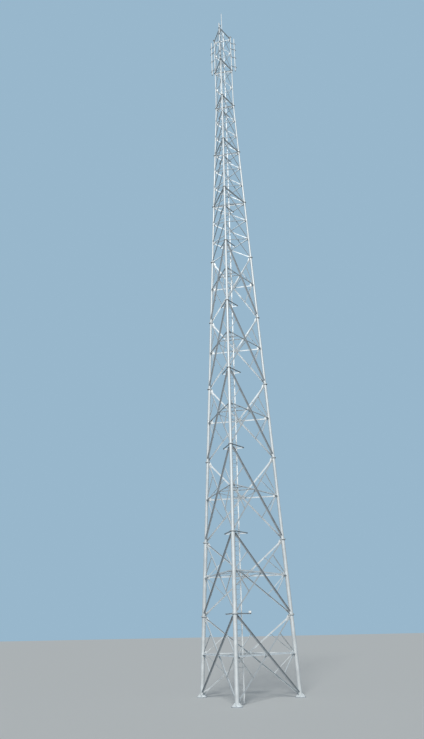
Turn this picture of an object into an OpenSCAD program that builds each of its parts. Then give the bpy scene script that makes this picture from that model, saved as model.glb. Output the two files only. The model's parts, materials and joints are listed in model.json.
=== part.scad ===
// Three-legged lattice telecom tower, 1:2 scale model, in millimetres.
// The origin is the middle of the front foot's underside. The tower stands on +Z,
// its axis lies on +Y behind the front leg, and +X is to the right of the climber's leg.

/* [Outline] */
// Distance between two leg axes at the ground
face_w_base = 3290; // [2600:10:4200]
// Distance between two leg axes in the straight head
face_w_top = 870; // [700:10:1200]
// Length of each of the two short leg sections at the bottom
short_section = 2500; // [2000:50:3000]
// Length of each long leg section
long_section = 3000; // [2400:50:3600]
// Length of each leg section of the straight head
head_section = 2500; // [2000:50:3000]

/* [Legs] */
// Outside diameter of the two lowest leg sections
leg_d_low = 137; // [110:1:160]
// Outside diameter of the leg sections from the second flange up
leg_d_second = 110; // [90:1:140]
// Outside diameter of the leg sections from the fourth flange up
leg_d_third = 97; // [80:1:120]
// Outside diameter of the leg sections from the sixth flange up
leg_d_fourth = 84; // [70:1:105]
// Outside diameter of the last tapering leg section
leg_d_fifth = 70; // [60:1:90]
// Outside diameter of the leg in the straight head
leg_d_head = 57; // [50:1:70]
// Wall thickness of every leg tube
leg_wall = 4.5; // [3:0.5:8]
// How far a joint flange stands out of the larger tube
flange_reach = 34; // [20:1:45]
// Thickness of one joint flange
flange_t = 14; // [8:1:20]
// Height of the groove that shows between two flanges
flange_groove = 1.6; // [1:0.2:4]

/* [Feet] */
// Diameter of a base plate
plate_d = 350; // [300:5:420]
// Thickness of a base plate
plate_t = 16; // [10:1:25]
// Diameter of the circle of anchor holes
anchor_pcd = 280; // [250:2:290]
// Diameter of one anchor hole
anchor_hole_d = 21; // [14:1:24]
// Number of anchor holes in a base plate
anchor_count = 8; // [4:4:12]
// Height of the stiffening fins on a foot
fin_h = 95; // [60:5:140]
// Thickness of a fin
fin_t = 6; // [4:1:10]

/* [Bracing] */
// Flange width of the angle bars in the two lowest panels
angle_low = 50; // [38:1:60]
// Flange width of the angle bars in the tall panels above
angle_mid = 55; // [40:1:60]
// Flange width of the level bars through the tall panels
angle_level = 45; // [32:1:52]
// Flange width of the angle bars in the close panels
angle_high = 40; // [30:1:46]
// Flange width of the angle bars in the straight head
angle_head = 32; // [24:1:36]
// Flange width of the short secondary bars
angle_second = 25; // [18:1:32]
// Flange width of the bars that carry the ladder
angle_frame = 32; // [26:1:38]
// Flange width of the ring bars at the very top
angle_top = 50; // [32:1:60]
// Distance of the top ring's middle below the leg tops
top_ring_drop = 170; // [80:5:260]
// Thickness of an angle bar's flange
angle_t = 4; // [3:0.5:6]
// Thickness of the gusset plates
gusset_t = 6; // [4:0.5:10]
// How far the plate behind a crossing laps the level bars beside it
gusset_lap = 42; // [25:1:60]
// Height of the same plate
gusset_h = 120; // [90:5:200]
// How far a leg gusset stands out of the leg tube
ear_reach = 130; // [100:5:180]
// Free space between a leg tube and the end of a bar
bar_gap = 8; // [5:1:30]

/* [Ladder] */
// Width of the climbing ladder over its stringers
ladder_w = 250; // [220:5:300]
// Distance of the ladder from the tower axis at the ground
ladder_r_base = 1200; // [900:10:1350]
// Distance of the ladder from the tower axis in the straight head
ladder_r_top = 100; // [60:5:160]
// Spacing of the rungs
rung_pitch = 150; // [120:5:200]
// Diameter of a rung
rung_d = 11; // [8:1:16]
// Flange width of a stringer's angle bar
stringer_b = 38; // [28:1:46]
// Thickness of a stringer
stringer_t = 4; // [3:0.5:6]
// How far a frame's back bar reaches past the two faces
frame_past = 15; // [5:1:30]
// Free space between a small frame and the leg gusset above it
small_frame_gap = 11; // [5:1:40]

/* [Antenna poles] */
// Outside diameter of an antenna pole
pole_d = 57; // [45:1:64]
// Wall thickness of an antenna pole
pole_wall = 3; // [2:0.5:6]
// Length of an antenna pole
pole_l = 2400; // [1800:50:2600]
// Distance between a pole's axis and its leg's axis
pole_standoff = 200; // [170:5:260]
// Width of the flat bar that makes a pole bracket
bracket_w = 30; // [20:1:45]
// Distance of a pole's top below the leg tops
pole_drop = 60; // [0:5:150]
// How far a bracket's arm reaches past the pole
bracket_past = 60; // [20:5:100]
// Wall of the clamp rings round the legs and the poles
clamp_wall = 7; // [4:0.5:12]

/* [Lightning rod] */
// Height of the rod above the leg tops
rod_h = 2070; // [1500:10:2600]
// Diameter of the pipe that carries the rod
rod_d = 24; // [16:1:34]
// Height above the leg tops where the thick upper part begins
mast_from = 740; // [400:10:1000]
// Diameter of the thick upper part
mast_d = 38; // [28:1:50]
// Diameter of the rod's tip
tip_d = 12; // [8:1:18]
// Length of the rod's tip
tip_h = 90; // [40:5:200]
// How far the rod's pipe reaches down past the top ring
rod_tail = 40; // [20:5:100]

/* [Lamp box] */
// Width of the lamp box
lamp_w = 80; // [60:5:120]
// Depth of the lamp box
lamp_depth = 60; // [45:5:90]
// Height of the lamp box
lamp_h = 65; // [45:5:100]

/* [Clearances] */
// Gap between pieces that are bolted or stand on each other
seat_gap = 0.3; // [0.2:0.05:0.6]
// How far welded or fused shapes run into each other
weld = 0.7; // [0.5:0.1:1.5]

/* [Hidden] */
$fn = 64;

steel = [0.72, 0.77, 0.80];
steel_dark = [0.45, 0.50, 0.55];

short_count = 2;
long_count = 7;
head_count = 2;
section_count = short_count + long_count + head_count;
kink_level = short_count + long_count;
taper_h = short_count * short_section + long_count * long_section;
top_h = taper_h + head_count * head_section;
TIER_START = [0, 3, 6, kink_level, section_count];
close_from = 6;

// Height of a flange level, counted from the ground
function level_z(i) =
    i <= short_count ? i * short_section
    : i <= kink_level ? short_count * short_section + (i - short_count) * long_section
    : taper_h + (i - kink_level) * head_section;
// Distance between two leg axes at a height
function face_w(z) =
    z >= taper_h ? face_w_top : face_w_base + (face_w_top - face_w_base) * z / taper_h;
// Distance of a leg axis from the tower axis
function leg_r(z) = face_w(z) / sqrt(3);
// Distance of a face's middle from the tower axis
function face_r(z) = leg_r(z) / 2;
// Diameter of the leg tube in a section
function tube_d(i) =
    i < 2 ? leg_d_low
    : i < 4 ? leg_d_second
    : i < 6 ? leg_d_third
    : i < 8 ? leg_d_fourth
    : i < kink_level ? leg_d_fifth
    : leg_d_head;
// Radius of the flanges at a level, set by the larger tube below it
function flange_r(i) = tube_d(max(i - 1, 0)) / 2 + flange_reach;
// Flange width of the diagonals in a section
function angle_w(i) =
    i < short_count ? angle_low : i < close_from ? angle_mid : i < kink_level ? angle_high : angle_head;
// Number of crossed panels in a section
function panel_count(i) = i < close_from ? 1 : i < kink_level ? 3 : 2;

axis_y = leg_r(0);
leg_lean = atan((leg_r(0) - leg_r(taper_h)) / taper_h);
face_tilt = atan((face_r(0) - face_r(taper_h)) / taper_h);
function lean(z) = z >= taper_h ? 0 : leg_lean;
function tilt(z) = z >= taper_h ? 0 : face_tilt;

// Where the flat side of a bar lies, measured from the middle of the gussets
seat = gusset_t / 2 + seat_gap;
// Distance from a flange level to the point on the leg axis that the diagonals aim at
node_up = 8;
node_down = 8;
foot_node_up = 70;
// The same distance below the middle of a ring bar
node_down_ring = 30;
// Free space between a flange and a ring bar or a gusset
flange_clear = 4;
// Free space between bars that meet on one side of a plate
bar_clear = 4;
flange_step = 2.5;

// Shape of the leg gussets, as shares of the bars' width: how far their edges lie past a bar's middle
// at the tube and at the outer end, for a node by a flange, a node between panels and a level bar
gusset_root = 1.2;
gusset_end = 0.75;
gusset_root_between = 1;
gusset_end_between = 0.3;
gusset_root_level = 1.7;
gusset_end_level = 1.3;
// Reach of the gussets in the close panels and at the level bars, as shares of the largest
reach_close = 0.62;
reach_level = 0.9;
// Where the secondary bars start on the level bars' gussets, as a share of the same, how far off the
// level bar they start and half the size of the plates at their other ends, in their own widths
reach_second = 0.45;
lift_second = 0.8;
plate_second = 0.7;
// Half the height of a crossing's plate in the close panels, in the diagonals' widths
cross_plate = 0.8;
// How far the standing flange of a bar across a corner stops short of its ends, in widths
corner_mitre = 0.6;
// Free space between a crossing's plate and the level triangle's bar beside it
plan_clear = 10;
// How far the fins stay inside the plate's edge, their height there and their width at the top
fin_margin = 14;
fin_edge_h = 18;
fin_top_w = 12;

function has_ring(i) = i > close_from;
// Flange width of a ring bar, and how far its middle lies below the flange level
function ring_w(i) = i == section_count ? angle_top : angle_high;
function ring_drop(i) = i == section_count ? top_ring_drop : flange_t + flange_clear + angle_high / 2;
function bottom_node(i) = i == 0 ? foot_node_up : node_up;
function top_node(i) = has_ring(i + 1) ? ring_drop(i + 1) + node_down_ring : node_down;
function section_len(i) = (level_z(i + 1) - level_z(i)) / cos(tilt(level_z(i)));
// Heights of the panel nodes of a section, along the face
function panel_y(i, k) =
    k == 0 ? bottom_node(i)
    : k == panel_count(i) ? section_len(i) - top_node(i)
    : k * section_len(i) / panel_count(i);
// Half the distance between the leg axes at a height along the face in a section
function half_w(i, y) =
    i >= kink_level ? face_w_top / 2
    : (face_w_base + (face_w_top - face_w_base) * (level_z(i) + y * cos(face_tilt)) / taper_h) / 2;
// Height where the two diagonals of a panel cross
function cross_y(i, k) =
    panel_y(i, k)
    + (panel_y(i, k + 1) - panel_y(i, k)) * half_w(i, panel_y(i, k))
    / (half_w(i, panel_y(i, k)) + half_w(i, panel_y(i, k + 1)));

// Slope of the diagonals of a panel, as an angle above the level
function panel_angle(i, k) =
    atan((panel_y(i, k + 1) - panel_y(i, k)) / (half_w(i, panel_y(i, k)) + half_w(i, panel_y(i, k + 1))));
// Distance from a crossing to the near end of the level bar beside it
function middle_start(i) =
    let (angle = panel_angle(i, 0))
    (angle_level / 2 + angle_w(i) / 2 / cos(angle)) / tan(angle) + bar_clear;
// Half the width of the plate behind a crossing
function plate_half(i) = panel_count(i) == 1 ? middle_start(i) + gusset_lap : angle_w(i);

leg_azimuth = [-90, 30, 150];
face_azimuth = [60, 180, -60];

// Puts its children on a leg's axis at a height, with Z along the leg and X away from the tower
module on_leg(leg, z) {
    translate([0, axis_y, z])
        rotate([0, 0, leg_azimuth[leg]])
            translate([leg_r(z), 0, 0])
                rotate([0, -lean(z), 0])
                    children();
}

// Puts its children in a face at a height, with X along it, Y up its slope and Z outwards
module on_face(face, z) {
    translate([0, axis_y, z])
        rotate([0, 0, face_azimuth[face]])
            translate([0, -face_r(z), 0])
                rotate([90 - tilt(z), 0, 0])
                    children();
}

// Which diagonals lie on the outer side, as a fact about the tower: in the tall panels the bars from
// the front leg's upper nodes do, on the back face both do, and the rest follow one hand
function rising_outside(face, i) = !(face == 0 && i < close_from) && !(face == 1 && i < short_count);
function both_outside(face, i) = face == 1 && i >= short_count && i < close_from;
// Whether a diagonal's standing flange is at its lower edge
function flange_low(face, i, outer) =
    face == 1 ? !outer && i >= close_from : outer == (i >= close_from);

// The outline of an angle bar across its length, with its standing flange at the upper edge
module angle_outline(b) {
    polygon([
        [-b / 2, 0], [b / 2, 0], [b / 2, b], [b / 2 - angle_t, b],
        [b / 2 - angle_t, angle_t], [-b / 2, angle_t]
    ]);
}

// An angle bar between two points of a face, p left of q, on the outer or the inner side, with its
// standing flange at the upper or the lower edge
module angle_bar(p, q, b, outer, low = false) {
    d = q - p;
    translate([p[0], p[1], 0])
        rotate([0, 0, atan2(d[1], d[0])])
            mirror([0, low ? 1 : 0, 0])
                mirror([0, 0, outer ? 0 : 1])
                    translate([0, 0, seat])
                        rotate([90, 0, 90])
                            linear_extrude(norm(d)) angle_outline(b);
}

// The first point of a line from one leg axis to another where a bar is clear of the tube and of the
// like bar on the inner side of the next face
function clear_start(p, q, b, r) =
    let (d = q - p, c = abs(d[0]) / norm(d), s = abs(d[1]) / norm(d))
        p + d / norm(d) * (max(r, (seat + b) * sqrt(3) - b * s) + bar_gap + b / 2 * s) / c;

// The point at a distance before q on the way from p
function short_of(p, q, gap) = q - (q - p) / norm(q - p) * gap;

module clear_bar(p, q, b, r, outer, low) {
    angle_bar(clear_start(p, q, b, r), clear_start(q, p, b, r), b, outer, low);
}

// The same bar in two halves, each ending at a distance from the crossing
module halved_bar(p, q, middle, gap, b, r, outer, low) {
    angle_bar(clear_start(p, q, b, r), short_of(p, middle, gap), b, outer, low);
    angle_bar(short_of(q, middle, gap), clear_start(q, p, b, r), b, outer, low);
}

// A plate in the middle of the face that both sides of bars are fused to
module face_plate(points) {
    translate([0, 0, -seat - weld])
        linear_extrude(2 * (seat + weld)) polygon(points);
}

// One crossed panel of a face. Where both diagonals lie outside, the falling one is in two halves
module crossed_panel(face, i, k) {
    b = angle_w(i);
    r = tube_d(i) / 2;
    ya = panel_y(i, k);
    yb = panel_y(i, k + 1);
    wa = half_w(i, ya);
    wb = half_w(i, yb);
    yc = cross_y(i, k);
    tall = panel_count(i) == 1;
    rising = rising_outside(face, i);
    both = both_outside(face, i);
    pw = plate_half(i);
    ph = tall ? gusset_h / 2 : b * cross_plate;
    clear_bar([-wa, ya], [wb, yb], b, r, rising, flange_low(face, i, rising));
    if (both) {
        turn = 2 * panel_angle(i, k);
        gap = (b / 2 * (1 + abs(cos(turn))) + bar_clear) / sin(turn);
        halved_bar([-wb, yb], [wa, ya], [0, yc], gap, b, r, true, flange_low(face, i, true));
    } else {
        clear_bar([-wb, yb], [wa, ya], b, r, !rising, flange_low(face, i, !rising));
    }
    face_plate([
        [-pw, yc - ph / 2], [-pw / 2, yc - ph], [pw / 2, yc - ph], [pw, yc - ph / 2],
        [pw, yc + ph / 2], [pw / 2, yc + ph], [-pw / 2, yc + ph], [-pw, yc + ph / 2]
    ]);
    if (tall) {
        middle_bars(i, yc, r);
        secondary_bars(i, ya, yb, yc, r, rising, both);
    }
}

// The two halves of the level bar that runs through a crossing
module middle_bars(i, yc, r) {
    w = half_w(i, yc);
    inner = middle_start(i);
    angle_bar([-w + r + bar_gap, yc], [-inner, yc], angle_level, true);
    angle_bar([inner, yc], [w - r - bar_gap, yc], angle_level, true);
}

// Short bars from the middle of each leg section to the middles of the half diagonals, each on the
// other side of the plates than its diagonal
module secondary_bars(i, ya, yb, yc, r, rising, both) {
    w = half_w(i, yc);
    start = r + ear_reach * reach_second;
    lift = angle_level / 2 + angle_second * lift_second;
    half_plate = angle_second * plate_second;
    for (side = [-1, 1]) {
        for (up = [-1, 1]) {
            y_end = up > 0 ? yb : ya;
            quarter = [side * half_w(i, y_end) / 2, (y_end + yc) / 2];
            foot = [side * (w - start), yc + up * lift];
            outer = !both && (side * up > 0) != rising;
            angle_bar(side < 0 ? foot : quarter, side < 0 ? quarter : foot, angle_second, outer);
            face_plate([
                quarter + [-half_plate, -half_plate], quarter + [half_plate, -half_plate],
                quarter + [half_plate, half_plate], quarter + [-half_plate, half_plate]
            ]);
        }
    }
}

// A level ring bar of a face, just under a flange
module ring_bar(i) {
    y = section_len(i - 1) - ring_drop(i);
    w = half_w(i - 1, y);
    r = tube_d(i - 1) / 2;
    angle_bar([-w + r + bar_gap, y], [w - r - bar_gap, y], ring_w(i), true);
}

// One side of the tower over one tier
module face_tier(face, tier) {
    color(steel) {
        for (i = [TIER_START[tier] : TIER_START[tier + 1] - 1]) {
            on_face(face, level_z(i)) {
                for (k = [0 : panel_count(i) - 1]) {
                    crossed_panel(face, i, k);
                }
                if (has_ring(i + 1)) {
                    ring_bar(i + 1);
                }
            }
        }
    }
}

// Half the outline of one leg section beside its axis, going up, with its two flanges
function section_outline(i, base) =
    let (
        c = cos(lean(level_z(i))),
        a = (level_z(i) - base) / c,
        z = (level_z(i + 1) - base) / c,
        r = tube_d(i) / 2,
        g = flange_groove / 2,
        ra = flange_r(i),
        rz = flange_r(i + 1)
    )
    concat(
        i == 0 ? [[r, a]] : [
            [ra - flange_step, a], [ra - flange_step, a + g], [ra, a + g],
            [ra, a + flange_t], [r, a + flange_t]
        ],
        [
            [r, z - flange_t], [rz, z - flange_t], [rz, z - g],
            [rz - flange_step, z - g], [rz - flange_step, z]
        ]
    );
// Half the outline of a section's bore, going up
function section_bore(i, base) =
    let (
        c = cos(lean(level_z(i))),
        a = (level_z(i) - base) / c,
        z = (level_z(i + 1) - base) / c,
        r = tube_d(i) / 2 - leg_wall,
        cap = i + 1 == section_count ? flange_t : 0
    )
    [[r, i == 0 ? a : a + flange_t], [r, z - cap]];

// The tube of one leg over one tier, turned from one outline
module leg_tube(tier) {
    first = TIER_START[tier];
    last = TIER_START[tier + 1] - 1;
    base = level_z(first);
    outer = [for (i = [first : last]) each section_outline(i, base)];
    bore = [for (i = [last : -1 : first]) let (s = section_bore(i, base)) each [s[1], s[0]]];
    top = outer[len(outer) - 1][1];
    low = bore[len(bore) - 1][0];
    closing = last + 1 == section_count ? [[0, top], [0, top - flange_t]] : [[bore[0][0], top]];
    rotate_extrude() polygon(concat(outer, closing, bore, [[low, 0]]));
}

// A gusset on a leg, drawn in the face: its inner edge lies in the tube's wall
module ear(i, side, y, reach, low_in, high_in, low_out, high_out) {
    r = tube_d(i) / 2 - leg_wall / 2;
    outer_x = tube_d(i) / 2 + reach;
    points = [
        [side * (half_w(i, y + low_in) - r), y + low_in],
        [side * (half_w(i, y + low_out) - outer_x), y + low_out],
        [side * (half_w(i, y + high_out) - outer_x), y + high_out],
        [side * (half_w(i, y + high_in) - r), y + high_in]
    ];
    translate([0, 0, -gusset_t / 2]) linear_extrude(gusset_t) polygon(points);
}

// All gussets of one section on one side of a face
module section_ears(i, side) {
    n = panel_count(i);
    b = angle_w(i);
    r = tube_d(i) / 2;
    reach = n == 1 ? ear_reach : ear_reach * reach_close;
    lowest = (i == 0 ? plate_t : flange_t) + flange_clear - bottom_node(i);
    highest = top_node(i) - flange_t - flange_clear;
    for (k = [0 : n - 1]) {
        ya = panel_y(i, k);
        yb = panel_y(i, k + 1);
        rise = tan(panel_angle(i, k));
        y_wall = r * rise;
        y_out = (r + reach) * rise;
        if (k == 0) {
            ear(i, side, ya, reach, max(y_wall - b, lowest), y_wall + b * gusset_root,
                y_out - b * gusset_end, y_out + b * gusset_end);
        } else {
            root = y_wall + b * gusset_root_between;
            end = y_out + b * gusset_end_between;
            ear(i, side, ya, reach, -root, root, -end, end);
        }
        if (k == n - 1) {
            over_ring = min(highest, node_down_ring + ring_w(i + 1) * gusset_end);
            ear(i, side, yb, reach,
                -y_wall - b * gusset_root, has_ring(i + 1) ? over_ring : min(highest, b - y_wall),
                -y_out - b * gusset_end, has_ring(i + 1) ? over_ring : min(highest, b * gusset_end - y_out));
        }
        if (n == 1) {
            root = angle_level * gusset_root_level;
            end = angle_level * gusset_end_level;
            ear(i, side, cross_y(i, k), ear_reach * reach_level, -root, root, -end, end);
        }
    }
}

// One leg over one tier, with the gussets that are welded to it
module leg_tier(leg, tier) {
    first = TIER_START[tier];
    base = level_z(first);
    cut = 400;
    color(steel) difference() {
        union() {
            on_leg(leg, base) leg_tube(tier);
            for (i = [first : TIER_START[tier + 1] - 1]) {
                on_face((leg + 2) % 3, level_z(i)) section_ears(i, 1);
                on_face(leg, level_z(i)) section_ears(i, -1);
            }
            if (tier == 0) foot_fins(leg);
        }
        low_cut = tier == 0 ? plate_t + seat_gap : base + seat_gap / 2;
        foot_x = leg_r(base);
        translate([0, axis_y, low_cut])
            rotate([0, 0, leg_azimuth[leg]])
                translate([foot_x, 0, -cut / 2]) cube([cut, cut, cut], center = true);
        if (tier < 3) {
            high = level_z(TIER_START[tier + 1]);
            translate([0, axis_y, high - seat_gap / 2])
                rotate([0, 0, leg_azimuth[leg]])
                    translate([leg_r(high), 0, cut / 2]) cube([cut, cut, cut], center = true);
        }
    }
}

// The fins that stiffen a foot, welded to the leg between its gussets
module foot_fins(leg) {
    r = leg_d_low / 2;
    reach = plate_d / 2 - fin_margin;
    fin_in = r - leg_wall / 2;
    translate([0, axis_y, plate_t + seat_gap])
        rotate([0, 0, leg_azimuth[leg]])
            translate([leg_r(0), 0, 0])
                for (a = [0, 60, 120, 180, 240, 300])
                    rotate([0, 0, a])
                        rotate([90, 0, 0])
                            translate([0, 0, -fin_t / 2])
                                linear_extrude(fin_t)
                                    polygon([
                                        [fin_in, 0], [reach, 0], [reach, fin_edge_h],
                                        [r + fin_top_w, fin_h], [fin_in, fin_h]
                                    ]);
}

// A base plate with its circle of anchor holes
module foot(leg) {
    color(steel_dark)
        translate([0, axis_y, 0])
            rotate([0, 0, leg_azimuth[leg]])
                translate([leg_r(0), 0, 0])
                    difference() {
                        cylinder(h = plate_t, d = plate_d);
                        for (n = [0 : anchor_count - 1])
                            rotate([0, 0, (n + 0.5) * 360 / anchor_count])
                                translate([anchor_pcd / 2, 0, -1])
                                    cylinder(h = plate_t + 2, d = anchor_hole_d, $fn = 32);
                    }
}

// A level angle bar across one corner of the tower, between the two faces beside a leg
module corner_bar(leg, z, x, b) {
    r = leg_r(z);
    reach = seat - seat_gap;
    function edge(d) = (r - d) * tan(30) + reach / cos(30);
    translate([0, axis_y, z])
        rotate([0, 0, leg_azimuth[leg]]) {
            translate([0, 0, -angle_t])
                linear_extrude(angle_t)
                    polygon([
                        [x, -edge(x)], [x + b, -edge(x + b)], [x + b, edge(x + b)], [x, edge(x)]
                    ]);
            translate([x, -edge(x) + b * corner_mitre, -b])
                cube([angle_t, 2 * (edge(x) - b * corner_mitre), b]);
        }
}

// Height above the ground of the crossing in a section of tall panels
function mid_z(i) = level_z(i) + cross_y(i, 0) * cos(tilt(level_z(i)));

// The level triangles that join the middles of the three faces
module plan_bracing(first, last) {
    color(steel)
        for (i = [first : last])
            for (leg = [0 : 2])
                corner_bar(leg, mid_z(i), leg_r(mid_z(i)) / 4 + (plate_half(i) + plan_clear) * cos(30),
                    angle_second);
}

// Distance of the ladder's middle plane from the tower axis
function ladder_r(z) =
    z >= taper_h ? ladder_r_top : ladder_r_base + (ladder_r_top - ladder_r_base) * z / taper_h;
ladder_lean = atan((ladder_r_base - ladder_r_top) / taper_h);

// One length of ladder between two heights: two angle bars with their flanges outwards at the back,
// and the rungs through both
module ladder(za, zb) {
    slope = za >= taper_h ? 0 : ladder_lean;
    ga = za == 0 ? plate_t : seat_gap / 2;
    length = (zb - za) / cos(slope) - ga - seat_gap / 2;
    rungs = floor(length / rung_pitch);
    inside = ladder_w / 2 - stringer_b;
    back = stringer_b / 2;
    color(steel)
        translate([0, axis_y - ladder_r(za), za])
            rotate([-slope, 0, 0])
                translate([0, 0, ga]) {
                    for (side = [-1, 1])
                        linear_extrude(length)
                            polygon([
                                [side * inside, -back], [side * (inside + stringer_t), -back],
                                [side * (inside + stringer_t), back - stringer_t],
                                [side * ladder_w / 2, back - stringer_t],
                                [side * ladder_w / 2, back], [side * inside, back]
                            ]);
                    for (n = [0 : rungs - 1])
                        translate([0, 0, rung_pitch * (n + 0.5)])
                            rotate([0, 90, 0])
                                cylinder(h = 2 * inside + stringer_t, d = rung_d, center = true, $fn = 6);
                }
}

// Distance of a level bar's nearest side from the tower axis, before the ladder or behind it
function beside_ladder(z, side, b) =
    ladder_r(z)
    + side * (stringer_b / 2 / cos(ladder_lean) + b * tan(ladder_lean) + 1.5 * seat_gap);

// A level angle bar behind the ladder, with its standing flange at the front or at the back
module back_bar(x, half, low, front) {
    b = angle_frame;
    translate([x - b, -half, low + b - angle_t]) cube([b, 2 * half, angle_t]);
    translate([front ? x - angle_t : x - b, -half, low]) cube([angle_t, 2 * half, b]);
}

// The two flat arms of a frame along the faces, from a distance off the leg axis to the back bar
module frame_arms(x, r, start, low) {
    b = angle_frame;
    for (side = [-1, 1])
        translate([r, 0, low])
            rotate([0, 0, side * 150])
                translate([start, -angle_t / 2, 0])
                    cube([(r - x + b / 2) / cos(30) - start, angle_t, b - angle_t / 2]);
}

// A frame at a flange: arms from the flange's rim along the faces, and a bar behind the ladder
module ladder_frame(i) {
    z = level_z(i);
    x = beside_ladder(z, -1, angle_frame);
    r = leg_r(z);
    translate([0, axis_y, z])
        rotate([0, 0, leg_azimuth[0]]) {
            back_bar(x, (r - x) * tan(30) + frame_past, -flange_t, false);
            frame_arms(x, r, flange_r(i) + seat_gap, -flange_t);
        }
}

// A small frame under the gusset of a close section's upper panel node, clamped round the leg
module small_frame(i) {
    gusset_out = (tube_d(i) / 2 + ear_reach * reach_close) * tan(panel_angle(i, 2));
    drop = gusset_out + angle_w(i) * gusset_end_between + small_frame_gap + angle_frame / 2;
    z = level_z(i) + (panel_y(i, 2) - drop) * cos(tilt(level_z(i)));
    x = beside_ladder(z, -1, angle_frame);
    r = leg_r(z);
    bore = tube_d(i) / 2 + seat_gap;
    translate([0, axis_y, z])
        rotate([0, 0, leg_azimuth[0]]) {
            back_bar(x, (r - x) * tan(30) + frame_past, -angle_frame / 2, true);
            frame_arms(x, r, bore + clamp_wall / 2, -angle_frame / 2);
        }
    on_leg(0, z)
        difference() {
            cylinder(h = angle_frame, r = bore + clamp_wall, center = true);
            cylinder(h = angle_frame + 2, r = bore, center = true);
        }
}

// A level bar between the two front faces' middle bars, before the ladder
module ladder_crossbar(z) {
    corner_bar(0, z, beside_ladder(z, 1, angle_second), angle_second);
}

// All frames and bars that carry the ladder
module ladder_supports() {
    color(steel) {
        for (i = [1 : section_count - 1]) ladder_frame(i);
        for (i = [close_from : kink_level - 1]) small_frame(i);
        for (i = [0 : close_from - 1]) ladder_crossbar(mid_z(i));
    }
}

// The heights of the four brackets of a pole, below the pole's top
bracket_drops = [390, 830, 1430, 2130];
pole_top = top_h - pole_drop;

// One antenna pole outside a leg, open at both ends
module pole(leg) {
    color(steel)
        translate([0, axis_y, pole_top - pole_l])
            rotate([0, 0, leg_azimuth[leg]])
                translate([leg_r(top_h) + pole_standoff, 0, 0])
                    difference() {
                        cylinder(h = pole_l, d = pole_d);
                        translate([0, 0, -1]) cylinder(h = pole_l + 2, d = pole_d - 2 * pole_wall);
                    }
}

// The four brackets that hold a pole: an arm with a clamp ring round the leg and round the pole
module pole_brackets(leg) {
    r_leg = leg_d_head / 2 + seat_gap;
    r_pole = pole_d / 2 + seat_gap;
    color(steel_dark)
        for (drop = bracket_drops)
            translate([0, axis_y, pole_top - drop])
                rotate([0, 0, leg_azimuth[leg]])
                    translate([leg_r(top_h), 0, 0])
                        difference() {
                            union() {
                                cylinder(h = bracket_w, r = r_leg + clamp_wall, center = true);
                                translate([pole_standoff, 0, 0])
                                    cylinder(h = bracket_w, r = r_pole + clamp_wall, center = true);
                                translate([0, -bracket_w / 2, -bracket_w / 2])
                                    cube([pole_standoff + r_pole + bracket_past, bracket_w, bracket_w]);
                            }
                            cylinder(h = bracket_w + 2, r = r_leg, center = true);
                            translate([pole_standoff, 0, 0])
                                cylinder(h = bracket_w + 2, r = r_pole, center = true);
                        }
}

// The rod on the middle of the back ring bar: a slender pipe, a thick mast on it and a pointed tip
module lightning_rod() {
    y = axis_y + face_r(top_h);
    tail = top_ring_drop + angle_top / 2 + rod_tail;
    shoulder = mast_d - rod_d;
    color(steel)
        translate([0, y + seat - seat_gap - rod_d / 2, top_h])
            rotate_extrude()
                polygon([
                    [0, -tail], [rod_d / 2, -tail], [rod_d / 2, mast_from], [mast_d / 2, mast_from + shoulder],
                    [mast_d / 2, rod_h - tip_h], [tip_d / 2, rod_h - tip_h + tip_d / 2],
                    [tip_d / 6, rod_h], [0, rod_h]
                ]);
}

// A small lamp box on the right end of the lowest frame's back bar
module lamp_box() {
    z = level_z(1);
    x = beside_ladder(z, -1, angle_frame);
    half = (leg_r(z) - x) * tan(30) + frame_past;
    color("white")
        translate([
            half - lamp_w, axis_y - x + (angle_frame - lamp_depth) / 2,
            z + angle_frame - flange_t + seat_gap
        ])
            cube([lamp_w, lamp_depth, lamp_h]);
}

foot(0);  // foot_front
foot(1);  // foot_right
foot(2);  // foot_left
leg_tier(0, 0);  // leg_front_lower
leg_tier(0, 1);  // leg_front_middle
leg_tier(0, 2);  // leg_front_upper
leg_tier(0, 3);  // leg_front_head
leg_tier(1, 0);  // leg_right_lower
leg_tier(1, 1);  // leg_right_middle
leg_tier(1, 2);  // leg_right_upper
leg_tier(1, 3);  // leg_right_head
leg_tier(2, 0);  // leg_left_lower
leg_tier(2, 1);  // leg_left_middle
leg_tier(2, 2);  // leg_left_upper
leg_tier(2, 3);  // leg_left_head
face_tier(0, 0);  // face_right_lower
face_tier(0, 1);  // face_right_middle
face_tier(0, 2);  // face_right_upper
face_tier(0, 3);  // face_right_head
face_tier(1, 0);  // face_back_lower
face_tier(1, 1);  // face_back_middle
face_tier(1, 2);  // face_back_upper
face_tier(1, 3);  // face_back_head
face_tier(2, 0);  // face_left_lower
face_tier(2, 1);  // face_left_middle
face_tier(2, 2);  // face_left_upper
face_tier(2, 3);  // face_left_head
plan_bracing(0, 2);  // plan_bracing_lower
plan_bracing(3, 5);  // plan_bracing_middle
ladder(0, level_z(3));  // ladder_lower
ladder(level_z(3), level_z(6));  // ladder_middle
ladder(level_z(6), taper_h);  // ladder_upper
ladder(taper_h, top_h);  // ladder_head
ladder_supports();
pole(0);  // pole_front
pole(1);  // pole_right
pole(2);  // pole_left
pole_brackets(0);  // pole_brackets_front
pole_brackets(1);  // pole_brackets_right
pole_brackets(2);  // pole_brackets_left
lightning_rod();
lamp_box();
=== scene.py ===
# %% [markdown]
# # A three-legged lattice telecom tower
#
# This lesson dresses a finished steel tower, a 1:2 scale model, 33.07 m tall. The construction
# comes packed as a fixed frame: tubes, angle bars, gussets, ladder and poles are there already,
# each as a node of its own. What is still missing is what a steel fabricator and a galvanising
# bath leave behind: bolts, nuts, weld beads, clamps, and the look of weathered zinc. The plain
# bars of the faces and of the ladder also give way to rolled ones.

import json
import math

import bpy
import numpy as np
from mathutils import Matrix, Vector

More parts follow.
